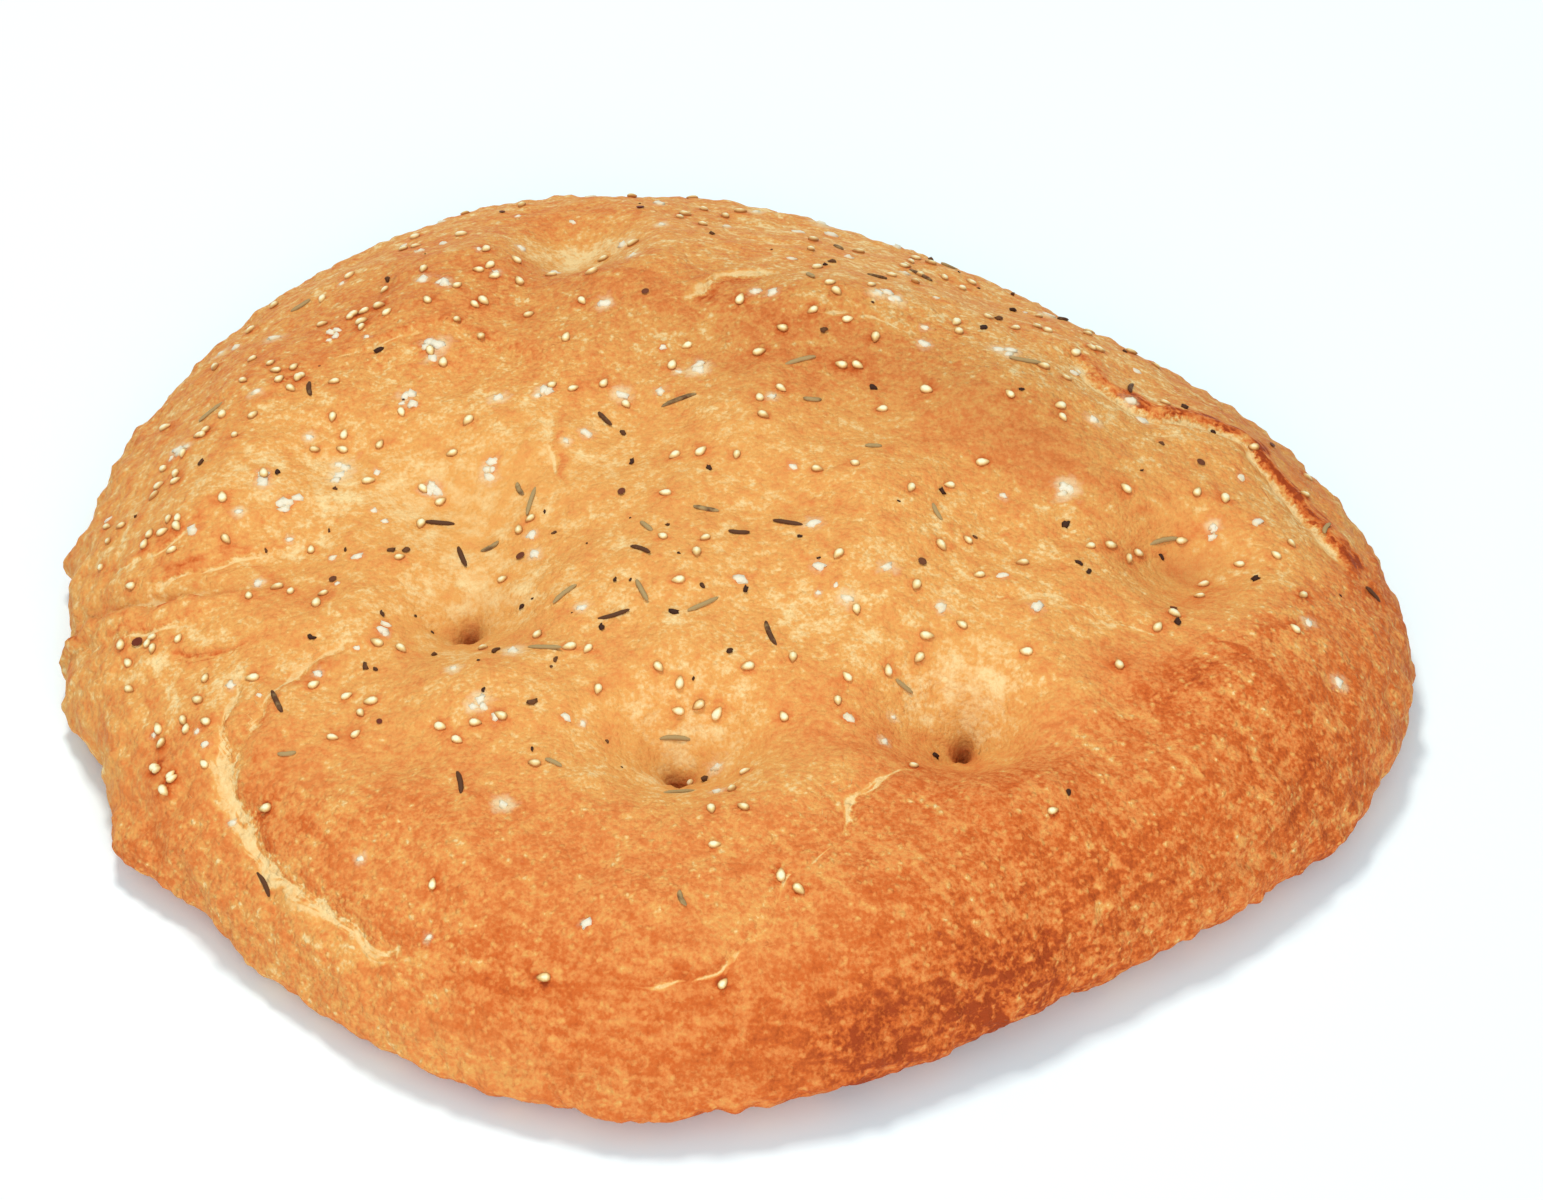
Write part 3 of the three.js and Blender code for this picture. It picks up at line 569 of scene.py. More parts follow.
def loaf_surface(loaf):
    """The whole skin as points, quads and triangles: a disc grid for the top, and from its last ring
    rows down a quarter ellipse to the base's edge and inwards over the flat base to one middle point."""
    n = TOP_CELLS
    rho, theta = disc_grid(n)
    rho = loaf.ring_share(rho)
    points = [loaf.place(rho * loaf.outline(theta), theta, loaf.top(rho, theta)).reshape(-1, 3)]
    index = np.arange((n + 1) ** 2).reshape(n + 1, n + 1)
    corners = (index[:-1, :-1], index[:-1, 1:], index[1:, 1:], index[1:, :-1])
    quads = [np.stack(corners, axis=-1).reshape(-1, 4)]
    ring = np.concatenate([index[0, :-1], index[:-1, -1], index[-1, :0:-1], index[:0:-1, 0]])
    around = theta.ravel()[ring]
    rim = loaf.outline(around)
    angles = np.arange(1, EDGE_ROWS + 1) / EDGE_ROWS * (np.pi / 2)
    edge = loaf.widest_height - BASE_LIFT
    rows = [(rim - loaf.tuck * (1 - math.cos(a)), BASE_LIFT + edge * (1 - math.sin(a))) for a in angles]
    rows += [(rim * share, BASE_LIFT * smooth_step(*BASE_BAND, share)) for share in BASE_SHARES]
    total = index.size
    upper = ring
    for radius, height in rows:
        points.append(loaf.place(radius, around, height + loaf.rim_curl(radius / rim, around)))
        lower = total + np.arange(len(ring))
        quads.append(np.stack([upper, lower, np.roll(lower, -1), np.roll(upper, -1)], axis=-1))
        total += len(ring)
        upper = lower
    points.append(np.zeros((1, 3)))
    triangles = np.stack([upper, np.full_like(upper, total), np.roll(upper, -1)], axis=-1)
    return np.vstack(points), np.vstack(quads), triangles


def point_normals(points, quads):
    """Outward directions: each quad's normal, the cross of its diagonals, summed at its corners."""
    p = points[quads]
    across = np.cross(p[:, 2] - p[:, 0], p[:, 3] - p[:, 1])
    normals = np.zeros_like(points)
    for corner in range(4):
        np.add.at(normals, quads[:, corner], across)
    return normals / np.maximum(np.linalg.norm(normals, axis=1, keepdims=True), TINY)


def fold_on(loaf, fold, points, wander):
    """A fold's push along the normals, the signed distance from its curve in widths, over 0 on the side
    that is scorched and painted with shade, how far along the curve that is, and how pale and how scorched
    and shaded it is there. The groove is a Gaussian of the distance, the step a smooth switch of sides."""
    plan = curve_through(fold.points)
    path = np.column_stack([plan, loaf.top_at(*plan.T)])
    distance, along, side = nearest_on(points, path)
    share = along / np.linalg.norm(np.diff(path, axis=0), axis=1).sum()
    first, last = fold.ends
    ends = smooth_step(FOLD_END, first, share) * smooth_step(FOLD_END, last, 1 - share)
    width = fold.width * (1 + FOLD_UNEVEN * wander)
    step = np.tanh(side * distance / width) * bell(distance / (STEP_WIDTHS * fold.width))
    off = math.copysign(1, fold.scorch) * side * distance / width
    push = ends * (fold.step * step - fold.depth * bell(distance / width))
    return push, off, along, ends * fold.pale, ends * abs(fold.scorch)


def dressed_loaf(loaf):
    """The skin with its folds and unevenness pushed along the normals, and layers for its finish.
    The folds are drawn on points that slow ripples have shifted, so they wander as real ones do."""
    points, quads, triangles = loaf_surface(loaf)
    normals = point_normals(points, quads)
    x, y, z = points.T
    theta = np.arctan2(y, x)
    rho = np.hypot(x, y) / loaf.outline(theta)
    layers = browning(x, y, z, rho)
    wander = np.clip(ripples(points, WANDER), -MOST_WANDER, MOST_WANDER)
    shifted = points + np.stack([ripples(points, WOBBLE_X), ripples(points, WOBBLE_Y), 0 * z], axis=-1)
    push = np.zeros(len(points))
    nearest = np.tile((SEAM_REACH, 0.0, 0.0, 0.0, 0.0), (len(points), 1))
    for fold in FOLDS:
        pushed, off, along, pale, singe = fold_on(loaf, fold, shifted, wander)
        push += pushed
        fade = 1 - smooth_step(*SEAM_BAND, np.abs(off) / SEAM_REACH)
        here = np.column_stack([off, along, off * fold.width, pale * fade, singe * fade])
        nearest = np.where((np.abs(off) < np.abs(nearest[:, 0]))[:, None], here, nearest)
    near, along, across, pale, singe = nearest.T
    skin = sum(ripples(points, ripple) for ripple in SKIN_RIPPLES)
    rough = sum(ripples(points, ripple) for ripple in EDGE_RIPPLES)
    edge = smooth_step(*EDGE_BAND, rho) * smooth_step(*EDGE_HEIGHT_BAND, z)
    push += loaf.softness * (skin * smooth_step(*SKIN_HEIGHT_BAND, z) + edge * rough)
    # The skin beside a fold is browned partly as scorch and partly as painted shade, and a crack's line is
    # darkened as painted shade
    layers.update(near=near, singe=singe, tear=np.maximum(pale, 0), crack=np.maximum(-pale, 0))
    layers["seam"] = np.stack([along, across, 0 * z], axis=-1) * MM
    layers["rim"] = smooth_step(*STREAK_BAND, rho)
    ring = STREAK_RADIUS * np.cos(theta), STREAK_RADIUS * np.sin(theta)
    layers["round"] = np.stack([np.hypot(x, y) - z, *ring], axis=-1) * MM
    return points + normals * push[:, None], quads, triangles, layers


def browning(x, y, z, rho):
    """Layers of the finish: how brown the crust is, with painted shade added in the holes, how far painted
    shade dims it, how grainy and drawn out it is, and the underside.
    """
    border = FRONT_BORDER + np.where(x > 0, FRONT_BORDER_RIGHT, FRONT_BORDER_LEFT) * x * x
    front = smooth_step(*FRONT_BAND, border - y)
    bake = BAKE_PLAIN + BAKE_FRONT * front + swelling(x, y, BAKE_ZONES)
    bake = bake + BAKE_SIDE * smooth_step(*SIDE_BAND, rho)
    # Painted shade over the crest, the back and the right dimple
    dull = swelling(x, y, PAINTED_SHADE_ZONES)
    bowls = 0
    for dimple in DIMPLES:
        away, _ = hole_distance(x, y, dimple)
        bowls = bowls + bell(away / dimple.radius)
        # Painted shade: each hole and its funnel are made browner and dimmer
        if dimple.hole > 0:
            deep = dimple.hole / DEEPEST_HOLE * bell(away / HOLE_RADIUS)
            wide = bell(away / (FUNNEL_WIDTHS * FUNNEL_RADIUS))
            bake = bake + HOLE_SHADE_TONE * deep + FUNNEL_SHADE_TONE * wide
            dull = dull + HOLE_SHADE_DIMMING * deep + FUNNEL_SHADE_DIMMING * wide * wide
    grain = GRAIN_PLAIN + GRAIN_FRONT * front - GRAIN_BOWL * bowls + swelling(x, y, CALM_ZONES)
    grain = grain + GRAIN_BACK * smooth_step(*GRAIN_BACK_BAND, y)
    drawn = DRAWN_PLAIN + swelling(x, y, DRAWN_ZONES)
    under = 1 - smooth_step(*UNDER_BAND, z)
    return {"bake": bake, "dull": dull, "grain": np.clip(grain, 0, 1), "drawn": drawn, "under": under}


def sprinkled(x, y):
    """How thickly toppings lie, from 0 to 1: a smooth step along a slanted line, low at the front."""
    along = y - BARE_SLANT * x
    return BARE_LEAST + (1 - BARE_LEAST) * smooth_step(*BARE_BAND, along)


def herb_heap(x, y):
    """Herbs and pepper fell mostly in one loose heap: a Gaussian over a thin even scatter."""
    heap = bell(np.hypot(x - HEAP_X, y - HEAP_Y) / HEAP_SPREAD)
    return HEAP_ELSEWHERE + (1 - HEAP_ELSEWHERE) * heap


def scatter(loaf):
    """Places of all toppings by kind, as rows of x, y, length, turn and tilt. A candidate takes six draws:
    its place, whether it stays, its turn, size and tilt. One that would lie on another is dropped."""
    taken = np.empty((0, 3))
    places = {}
    for kind, topping in TOPPINGS.items():
        u = draws(topping.seed, DRAWS_EACH * MOST_TRIES).reshape(-1, DRAWS_EACH)
        x, y = ((2 * u[:, :2] - 1) * SCATTER_HALF_SIDE).T
        length = topping.least + (topping.most - topping.least) * u[:, 4]
        wanted = sprinkled(x, y) * (herb_heap(x, y) if topping.herb else 1)
        inside = np.hypot(x, y) < SCATTER_EDGE * loaf.outline(np.arctan2(y, x))
        rows = []
        for i in np.flatnonzero(inside & (u[:, 2] < wanted)):
            reach = topping.reach * length[i]
            gaps = np.hypot(taken[:, 0] - x[i], taken[:, 1] - y[i]) - taken[:, 2]
            if len(rows) < topping.count and (gaps > reach).all():
                rows.append((x[i], y[i], length[i], 2 * np.pi * u[i, 3], 2 * u[i, 5] - 1))
                taken = np.vstack([taken, (x[i], y[i], reach)])
        places[kind] = np.array(rows)
    for kind, clump in CLUMPS.items():
        places[kind] = np.vstack([places[kind], clumped(clump)])
    return places


def clumped(clump):
    """Places round the middle of each clump, nearer ones more often: a drawn distance and angle each."""
    count = clump.each * len(clump.middles)
    near, angle, size, turn, tilt = draws(clump.seed, CLUMP_DRAWS * count).reshape(-1, CLUMP_DRAWS).T
    x, y = np.repeat(np.array(clump.middles, float), clump.each, axis=0).T
    x = x + clump.spread * near * np.cos(2 * np.pi * angle)
    y = y + clump.spread * near * np.sin(2 * np.pi * angle)
    length = clump.least + (clump.most - clump.least) * size
    return np.stack([x, y, length, 2 * np.pi * turn, 2 * tilt - 1], axis=-1)


def put_mesh(name, points, faces, layers=None):
    """A piece from points in millimetres and lists of faces with alike numbers of corners."""
    mesh = bpy.data.meshes.new(name)
    corners = np.concatenate([f.ravel() for f in faces])
    sizes = np.concatenate([np.full(len(f), f.shape[1]) for f in faces])
    starts = np.concatenate([[0], np.cumsum(sizes)[:-1]])
    mesh.vertices.add(len(points))
    mesh.vertices.foreach_set("co", (points * MM).astype(np.float32).ravel())
    mesh.loops.add(len(corners))
    mesh.loops.foreach_set("vertex_index", corners.astype(np.int32))
    mesh.polygons.add(len(sizes))
    mesh.polygons.foreach_set("loop_start", starts.astype(np.int32))
    mesh.polygons.foreach_set("use_smooth", np.ones(len(sizes), bool))
    for layer, values in (layers or {}).items():
        kind, field = ("FLOAT", "value") if values.ndim == 1 else ("FLOAT_VECTOR", "vector")
        attribute = mesh.attributes.new(layer, kind, "POINT")
        attribute.data.foreach_set(field, values.astype(np.float32).ravel())
    mesh.update(calc_edges=True)
    mesh.validate()
    piece = bpy.data.objects.new(name, mesh)
    bpy.context.scene.collection.objects.link(piece)
    return piece


def dress(piece, finish):
    """Gives a piece its finish, sets what it moves with, and hides the imported solid that it stands in
    for.
    """
    piece.data.materials.append(finish)
    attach(piece, BODY)
    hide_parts(NODE)


class Value:
    """A shader socket for Python expressions. Each operator adds one Math node."""

    def __init__(self, socket):
        self.socket = socket

    def math(self, operation, *others):
        node = self.socket.id_data.nodes.new("ShaderNodeMath")
        node.operation = operation
        for entry, value in zip(node.inputs, (self, *others)):
            connect(entry, value)
        return Value(node.outputs[0])

    def __add__(self, other):
        return self.math("ADD", other)

    def __sub__(self, other):
        return self.math("SUBTRACT", other)

    def __rsub__(self, other):
        return self.math("MULTIPLY", -1).math("ADD", other)

    def __mul__(self, other):
        return self.math("MULTIPLY", other)

    __radd__ = __add__
    __rmul__ = __mul__

    def step(self, low, high):
        """0 below low, 1 above high, smooth between."""
        t = ((self - low) * (1 / (high - low))).math("MAXIMUM", 0).math("MINIMUM", 1)
        return t * t * (3 - 2 * t)


def connect(entry, value):
    """Links a socket to a Value, or sets its number, colour or vector."""
    if isinstance(value, Value):
        entry.id_data.links.new(value.socket, entry)
    else:
        entry.default_value = value


class Finish:
    """A material: its nodes, and the shader that they feed."""

    def __init__(self, name):
        self.material = bpy.data.materials.new(name)
        self.material.use_nodes = True
        self.nodes = self.material.node_tree.nodes
        self.shader = self.nodes["Principled BSDF"]
        self.place = self.node("ShaderNodeTexCoord", output="Object")

    def node(self, kind, settings=None, inputs=None, output=0):
        """A node of any kind: settings first, where stops are a ramp's, then socket values or links."""
        node = self.nodes.new(kind)
        for name, value in (settings or {}).items():
            if name == "stops":
                ramp = node.color_ramp.elements
                for _ in value[2:]:
                    ramp.new(0.5)
                for element, (position, colour) in zip(ramp, value):
                    element.position = position
                    element.color = colour
            else:
                setattr(node, name, value)
        for name, value in (inputs or {}).items():
            connect(node.inputs[name], value)
        return Value(node.outputs[output])

    def feed(self, **inputs):
        """Sets or links the shader's sockets, named with underscores for spaces."""
        for name, value in inputs.items():
            connect(self.shader.inputs[name.replace("_", " ")], value)

    def layer(self, name, output="Fac"):
        """A layer of numbers that the mesh carries, or with the output Vector a layer of vectors."""
        return self.node("ShaderNodeAttribute", {"attribute_name": name}, output=output)

    def noise(self, noise, at=None):
        """A noise from about -0.3 to 0.3, on the piece's own place or another."""
        inputs = {"Vector": at or self.place, "Scale": noise.waves, "Detail": noise.detail}
        return self.node("ShaderNodeTexNoise", inputs=inputs) - NOISE_MEAN

    def stretched(self, length, heading, at=None):
        """A place drawn out along a heading, for marks that are that many times as long as wide."""
        turn = (0, 0, math.radians(heading))
        inputs = {"Vector": at or self.place, "Rotation": turn, "Scale": (length, 1, 1)}
        return self.node("ShaderNodeMapping", {"vector_type": "TEXTURE"}, inputs)

    def cells(self, waves, shift):
        """Uneven cells, that many in a metre, with their walls shifted that far by noise: the distance
        from a cell's middle, and a tone of the cell's own."""
        inputs = {"Vector": self.place, "Scale": waves}
        wobble = self.node("ShaderNodeTexNoise", inputs=inputs, output="Color")
        parts = {0: wobble, 1: (shift, shift, shift), 2: self.place}
        at = self.node("ShaderNodeVectorMath", {"operation": "MULTIPLY_ADD"}, parts)
        inputs = {"Vector": at, "Scale": waves}
        distance = self.node("ShaderNodeTexVoronoi", inputs=inputs, output="Distance")
        return distance, Value(distance.socket.node.outputs["Color"])

    def ramp(self, stops, colours, tone):
        """The colour of a tone, on a ramp whose colours lie at the stops."""
        ramp = [(stop, shade(colour)) for stop, colour in zip(stops, colours)]
        return self.node("ShaderNodeValToRGB", {"stops": ramp}, {"Fac": tone})

    def blend(self, share, first, second):
        """Mixes two colours."""
        return self.node("ShaderNodeMix", {"data_type": "RGBA"}, {0: share, 6: first, 7: second}, 2)

    def bump(self, height, depth, strength=1.0):
        """A Bump node for a height whose 1 stands for that many metres."""
        inputs = {"Height": height, "Distance": depth, "Strength": strength}
        self.feed(Normal=self.node("ShaderNodeBump", inputs=inputs))


def shade(colour):
    """A colour property as a socket takes it, with full alpha."""
    return (*colour, 1.0)


def crust_finish(tones):
    """Baked crust: a ramp from pale to burnt, moved by blotches, stretch marks, streaks along the rim,
    grain, pale dots and dashes, with folds that are scorched and painted with shade on one side and torn
    along their line or painted dark as shade in a crack, painted shade that dims the crest and the holes,
    and dust round the salt."""
    finish = Finish("crust")
    layers = ("bake", "grain", "drawn", "tear", "crack", "singe", "under")
    bake, grain, drawn, tear, crack, singe, under = (finish.layer(name) for name in layers)
    noises = (BLOTCHES, PATCHES, MOTTLE, SPECKS, FINE)
    blotches, patches, mottle, specks, fine = (finish.noise(noise) for noise in noises)
    marks = drawn * finish.noise(MARKS, finish.stretched(*MARK_STRETCH))
    streaks = finish.layer("rim") * finish.noise(STREAKS, finish.layer("round", "Vector"))
    strands = finish.noise(STRANDS, finish.stretched(*STRAND_STRETCH, finish.layer("seam", "Vector")))
    dashes = grain * grain * finish.noise(DASHES, finish.stretched(*DASH_STRETCH)).step(*DASH_BAND)
    cell, cell_tone = finish.cells(CELLS, CELL_SHIFT)
    dots = grain * grain * (1 - cell.step(*DOT_BAND)) * cell_tone.step(*CELL_BAND)
    inputs = {"Vector": finish.place, "Scale": GRIT}
    grit = finish.node("ShaderNodeTexVoronoi", inputs=inputs, output="Distance")

    tone = bake + (blotches * BLOTCHES.tone + patches * PATCHES.tone) * (BLOTCH_PALE - BLOTCH_BROWN * bake)
    tone = tone + mottle * MOTTLE.tone + marks * MARKS.tone + streaks * STREAKS.tone
    grains = specks * SPECKS.tone + fine * FINE.tone + (grit - GRIT_MEAN) * GRIT_TONE
    tone = tone + (SPECK_LEAST + SPECK_GRAIN * grain) * grains
    tone = tone - dots * (DOT_PALE + DOT_BROWN * bake) - dashes * (DASH_PALE + DASHES.tone * bake)
    over = (tone - bake.math("MAXIMUM", DARK_FROM) - DARK_SLACK).math("MAXIMUM", 0)
    tone = tone - over * DARK_CUT + under * (finish.noise(UNDERSIDE) + UNDERSIDE_DARKER) * UNDERSIDE.tone

    off = finish.layer("near") + specks * FRAY_SPECKS + fine * FRAY_FINE
    inner = off + TEAR_SHIFT
    line = (inner * inner * -1).math("EXPONENT")
    # Painted shade and scorch: the skin beside a fold is made browner
    lip = off.step(*SINGE_AND_SHADE_BAND) * (1 - off.step(*SINGE_AND_SHADE_END_BAND))
    tone = tone + singe * lip * (SINGE_AND_SHADE + strands * SINGE_AND_SHADE_STRANDS + patches * SINGE_AND_SHADE_PATCHES)
    torn = (line * (tear * TEAR + strands * TEAR_STRANDS)).step(*TEAR_BAND)
    dough = TORN_TONE + specks * TORN_SPECKS + strands * STRANDS.tone
    # A torn line turns to pale dough, and a crack's line is darkened as painted shade
    tone = tone * (1 - torn) + torn * dough + line * crack * CRACK_SHADE_TONE

    colours = (tones.pale, tones.golden, tones.brown, tones.dark, tones.burnt)
    # Painted shade: the dimming layer darkens the ramp's colour
    inputs = {"Color": finish.ramp(TONE_STOPS, colours, tone), "Value": 1 - finish.layer("dull")}
    colour = finish.node("ShaderNodeHueSaturation", inputs=inputs)
    dust = (finish.layer("dust") + specks * DUST_SPECKS + mottle * DUST_MOTTLE).step(*DUST_BAND)
    colour = finish.blend(dust * DUST_SHARE, colour, shade(tones.salt))
    roughness = CRUST_ROUGHNESS + grain * ROUGHNESS_GRAIN + fine * ROUGHNESS_FINE
    finish.feed(Base_Color=colour, Roughness=roughness, Specular_IOR_Level=CRUST_GLOSS)
    relief = specks * (SPECKS.relief + grain) + fine * FINE.relief + marks * MARKS.relief
    relief = relief + streaks * STREAKS.relief + dots * DOT_RELIEF - grit * GRIT_RELIEF
    finish.bump(relief - line * (tear + crack) * TEAR_RELIEF, CRUST_DEPTH, CRUST_BUMP)
    return finish.material


def toned_finish(look, colours):
    """A small topping: its own drawn tone picks a colour from a ramp, and noise roughens it."""
    finish = Finish(look.finish)
    noise = finish.noise(Noise(look.waves, TOPPING_DETAIL, TOPPING_TONE))
    colour = finish.ramp(look.stops, colours, finish.layer("tone") + noise * TOPPING_TONE)
    roughness = look.roughness + noise * TOPPING_ROUGHNESS
    finish.feed(Base_Color=colour, Roughness=roughness, Specular_IOR_Level=TOPPING_GLOSS)
    finish.bump(noise, look.depth)
    return finish.material


def ball_grid(rows, columns):
    """A unit ball as (points, quads, triangles): latitude rows between two poles along x."""
    lat = np.pi * np.arange(1, rows) / rows
    lon = 2 * np.pi * np.arange(columns) / columns
    ring = np.stack([
        np.repeat(-np.cos(lat), columns),
        (np.sin(lat)[:, None] * np.cos(lon)).ravel(),
        (np.sin(lat)[:, None] * np.sin(lon)).ravel(),
    ], axis=-1)
    points = np.vstack([ring, [[-1, 0, 0], [1, 0, 0]]])
    index = np.arange(len(ring)).reshape(rows - 1, columns)
    turned = np.roll(index, -1, axis=1)
    quads = np.stack([index[:-1], index[1:], turned[1:], turned[:-1]], axis=-1).reshape(-1, 4)
    first, last = len(ring), len(ring) + 1
    caps = [(np.full(columns, first), index[0], turned[0]), (np.full(columns, last), turned[-1], index[-1])]
    return points, quads, np.vstack([np.stack(cap, axis=-1) for cap in caps])


def on_crust(rows):
    """Where each topping lies on the loaf, in millimetres, and its axes: along, across and outwards."""
    loaf = bpy.data.objects["loaf"]
    spots, outs = [], []
    for x, y in rows[:, :2]:
        hit, spot, out, _ = loaf.ray_cast(Vector((x * MM, y * MM, OVERHEAD)), Vector((0, 0, -1)))
        if not hit:
            raise RuntimeError(f"no crust under the topping at {x:.1f}, {y:.1f} mm")
        spots.append(spot)
        outs.append(out)
    out = np.array(outs)
    turn = rows[:, 3]
    along = np.stack([np.cos(turn), np.sin(turn), np.zeros_like(turn)], axis=-1)
    along -= out * (along * out).sum(axis=1, keepdims=True)
    along /= np.linalg.norm(along, axis=1, keepdims=True)
    return np.array(spots) / MM, np.stack([along, np.cross(out, along), out], axis=1)


def topping_rows(context, kind):
    """The scattered places of one kind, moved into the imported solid's frame, and the ball that each one's
    shape starts from."""
    loaf = Loaf(context.scene.focaccia_loaf)
    rows = scatter(loaf)[kind]
    rows[:, :2] -= loaf.middle[:2]
    return rows, ball_grid(KINDS[kind].rows, KINDS[kind].columns)[0]


def lumpy(ball, count, lumps, seed):
    """That many balls, with each point moved in or out by a draw, by the share lumps at most."""
    return ball * (1 + lumps * (2 * draws(seed, count * len(ball)).reshape(count, -1, 1) - 1))


def strew(kind, rows, shapes, sizes, colours):
    """One piece of many like toppings: one shape for all or one for each, scaled to half sizes, turned
    and set on the crust. Its tone mixes a draw for all of it with how far a point lies under its top."""
    made = KINDS[kind]
    spots, axes = on_crust(rows)
    points = np.einsum("kni,kij->knj", shapes * sizes[:, None, :], axes)
    points += (spots + axes[:, 2] * ((1 - 2 * made.sink) * sizes[:, 2])[:, None])[:, None, :]
    count, each = points.shape[:2]
    first = (np.arange(count) * each)[:, None, None]
    faces = [(first + f).reshape(-1, f.shape[1]) for f in ball_grid(made.rows, made.columns)[1:]]
    # Painted shade and toasting: a sesame seed is darker on its sides than on its top; a salt grain's edge
    # is its melted rim
    under = 1 - np.maximum(shapes[:, :, 2], 0) ** 2
    tone = draws(made.seed, count)[:, None] * (1 - made.edge) + made.edge * under
    piece = put_mesh(made.piece, points.reshape(-1, 3), faces, {"tone": tone.ravel()})
    dress(piece, toned_finish(LOOKS[kind], colours))


METRES = {"unit": "LENGTH", "precision": 4}
FACTOR = {"subtype": "FACTOR"}
POWER = {"unit": "POWER"}


def amount(name, description, default, least, most, kind):
    """A number that a user may change, the least and most it may be, and its unit or subtype."""
    return FloatProperty(name=name, description=description, default=default, min=least, max=most, **kind)


def tint(name, description, default):
    """A colour that a user may change."""
    return FloatVectorProperty(
        name=name, description=description, default=default, min=0, max=1, subtype="COLOR")


class FocacciaLoaf(bpy.types.PropertyGroup):
    """Sizes and colours of the loaf."""

    mean_radius: amount("Mean radius", "Average radius of the outline", 0.1104, 0.05, 0.2, METRES)
    dome_height: amount("Dome height", "Height of the dome without its swells", 0.036, 0.015, 0.08, METRES)
    widest_height: amount("Widest height", "Height of the widest line", 0.006, 0.003, 0.03, METRES)
    base_tuck: amount("Base tuck", "From the base's edge out to the outline", 0.008, 0.002, 0.03, METRES)
    skin_unevenness: amount("Skin unevenness", "Strength of the skin's ripples", 1.0, 0.0, 3.0, FACTOR)
    pale: tint("Pale dough", "Colour of stretched or torn dough", (0.92, 0.62, 0.28))
    golden: tint("Golden crust", "Colour of the lightly baked crust", (0.815, 0.368, 0.093))
    brown: tint("Brown crust", "Colour of the well baked crust", (0.76, 0.235, 0.056))
    dark: tint("Dark crust", "Colour of the darkest sound crust", (0.63, 0.122, 0.019))
    burnt: tint("Burnt crust", "Colour of scorched spots", (0.36, 0.05, 0.008))
    salt: tint("Salt dust", "Colour of the dust round the salt grains", (0.90, 0.67, 0.36))


class FocacciaToppings(bpy.types.PropertyGroup):
    """Sizes and colours of the toppings."""

    sesame_width: amount("Seed width", "A seed's width over its length", 0.64, 0.3, 1, FACTOR)
    sesame_thickness: amount("Seed thickness", "A seed's thickness over its length", 0.42, 0.2, 1, FACTOR)
    needle_width: amount("Needle width", "Width of a rosemary needle", 0.0009, 0.0005, 0.003, METRES)
    needle_thickness: amount("Needle thickness", "Thickness of a needle", 0.0007, 0.0003, 0.003, METRES)
    # A sesame seed's top takes the pale colour and its sides the golden and toasted ones, partly as
    # toasting and partly as painted shade
    sesame: tint("Sesame", "Colour of a pale sesame seed", (0.96, 0.84, 0.54))
    golden_seed: tint("Golden sesame", "Colour of a half toasted sesame seed", (0.84, 0.56, 0.22))
    toasted_and_shade: tint("Toasted sesame", "Colour of a toasted sesame seed", (0.50, 0.20, 0.05))
    salt: tint("Salt", "Colour of the salt grains", (0.86, 0.74, 0.55))
    melted: tint("Melted salt", "Colour of the edges of a salt grain", (0.82, 0.58, 0.30))
    dry_needle: tint("Dry needle", "Colour of a dried rosemary needle", (0.42, 0.27, 0.11))
    dark_needle: tint("Dark needle", "Colour of a baked rosemary needle", (0.11, 0.04, 0.015))
    pepper: tint("Pepper", "Colour of the cracked pepper", (0.055, 0.02, 0.01))
    husk: tint("Pepper husk", "Colour of the pepper's brown husks", (0.16, 0.06, 0.02))
    flake: tint("Red flake", "Colour of the red-brown flakes", (0.15, 0.014, 0.005))


class FocacciaStage(bpy.types.PropertyGroup):
    """The photo's camera, and the stage's lights and floor."""

    elevation: amount(
        "Camera elevation", "Angle of the camera over the floor", math.radians(42), 0, math.pi / 2,
        {"subtype": "ANGLE"})
    distance: amount("Camera distance", "From the camera to the bread", 1.0, 0.3, 5, METRES)
    aim_height: amount("Aim height", "Height that the camera looks at", 0.018, 0, 0.2, METRES)
    key_power: amount("Key light", "Power of the soft light behind the bread", 5.3, 0, 100, POWER)
    fill_power: amount("Fill light", "Power of the soft light beside the camera", 7.7, 0, 100, POWER)
    sky: amount("Surroundings", "Brightness of the white surroundings", 0.58, 0, 5, {})
    floor: tint("Floor", "Colour of the floor", (0.92, 0.99, 1.0))


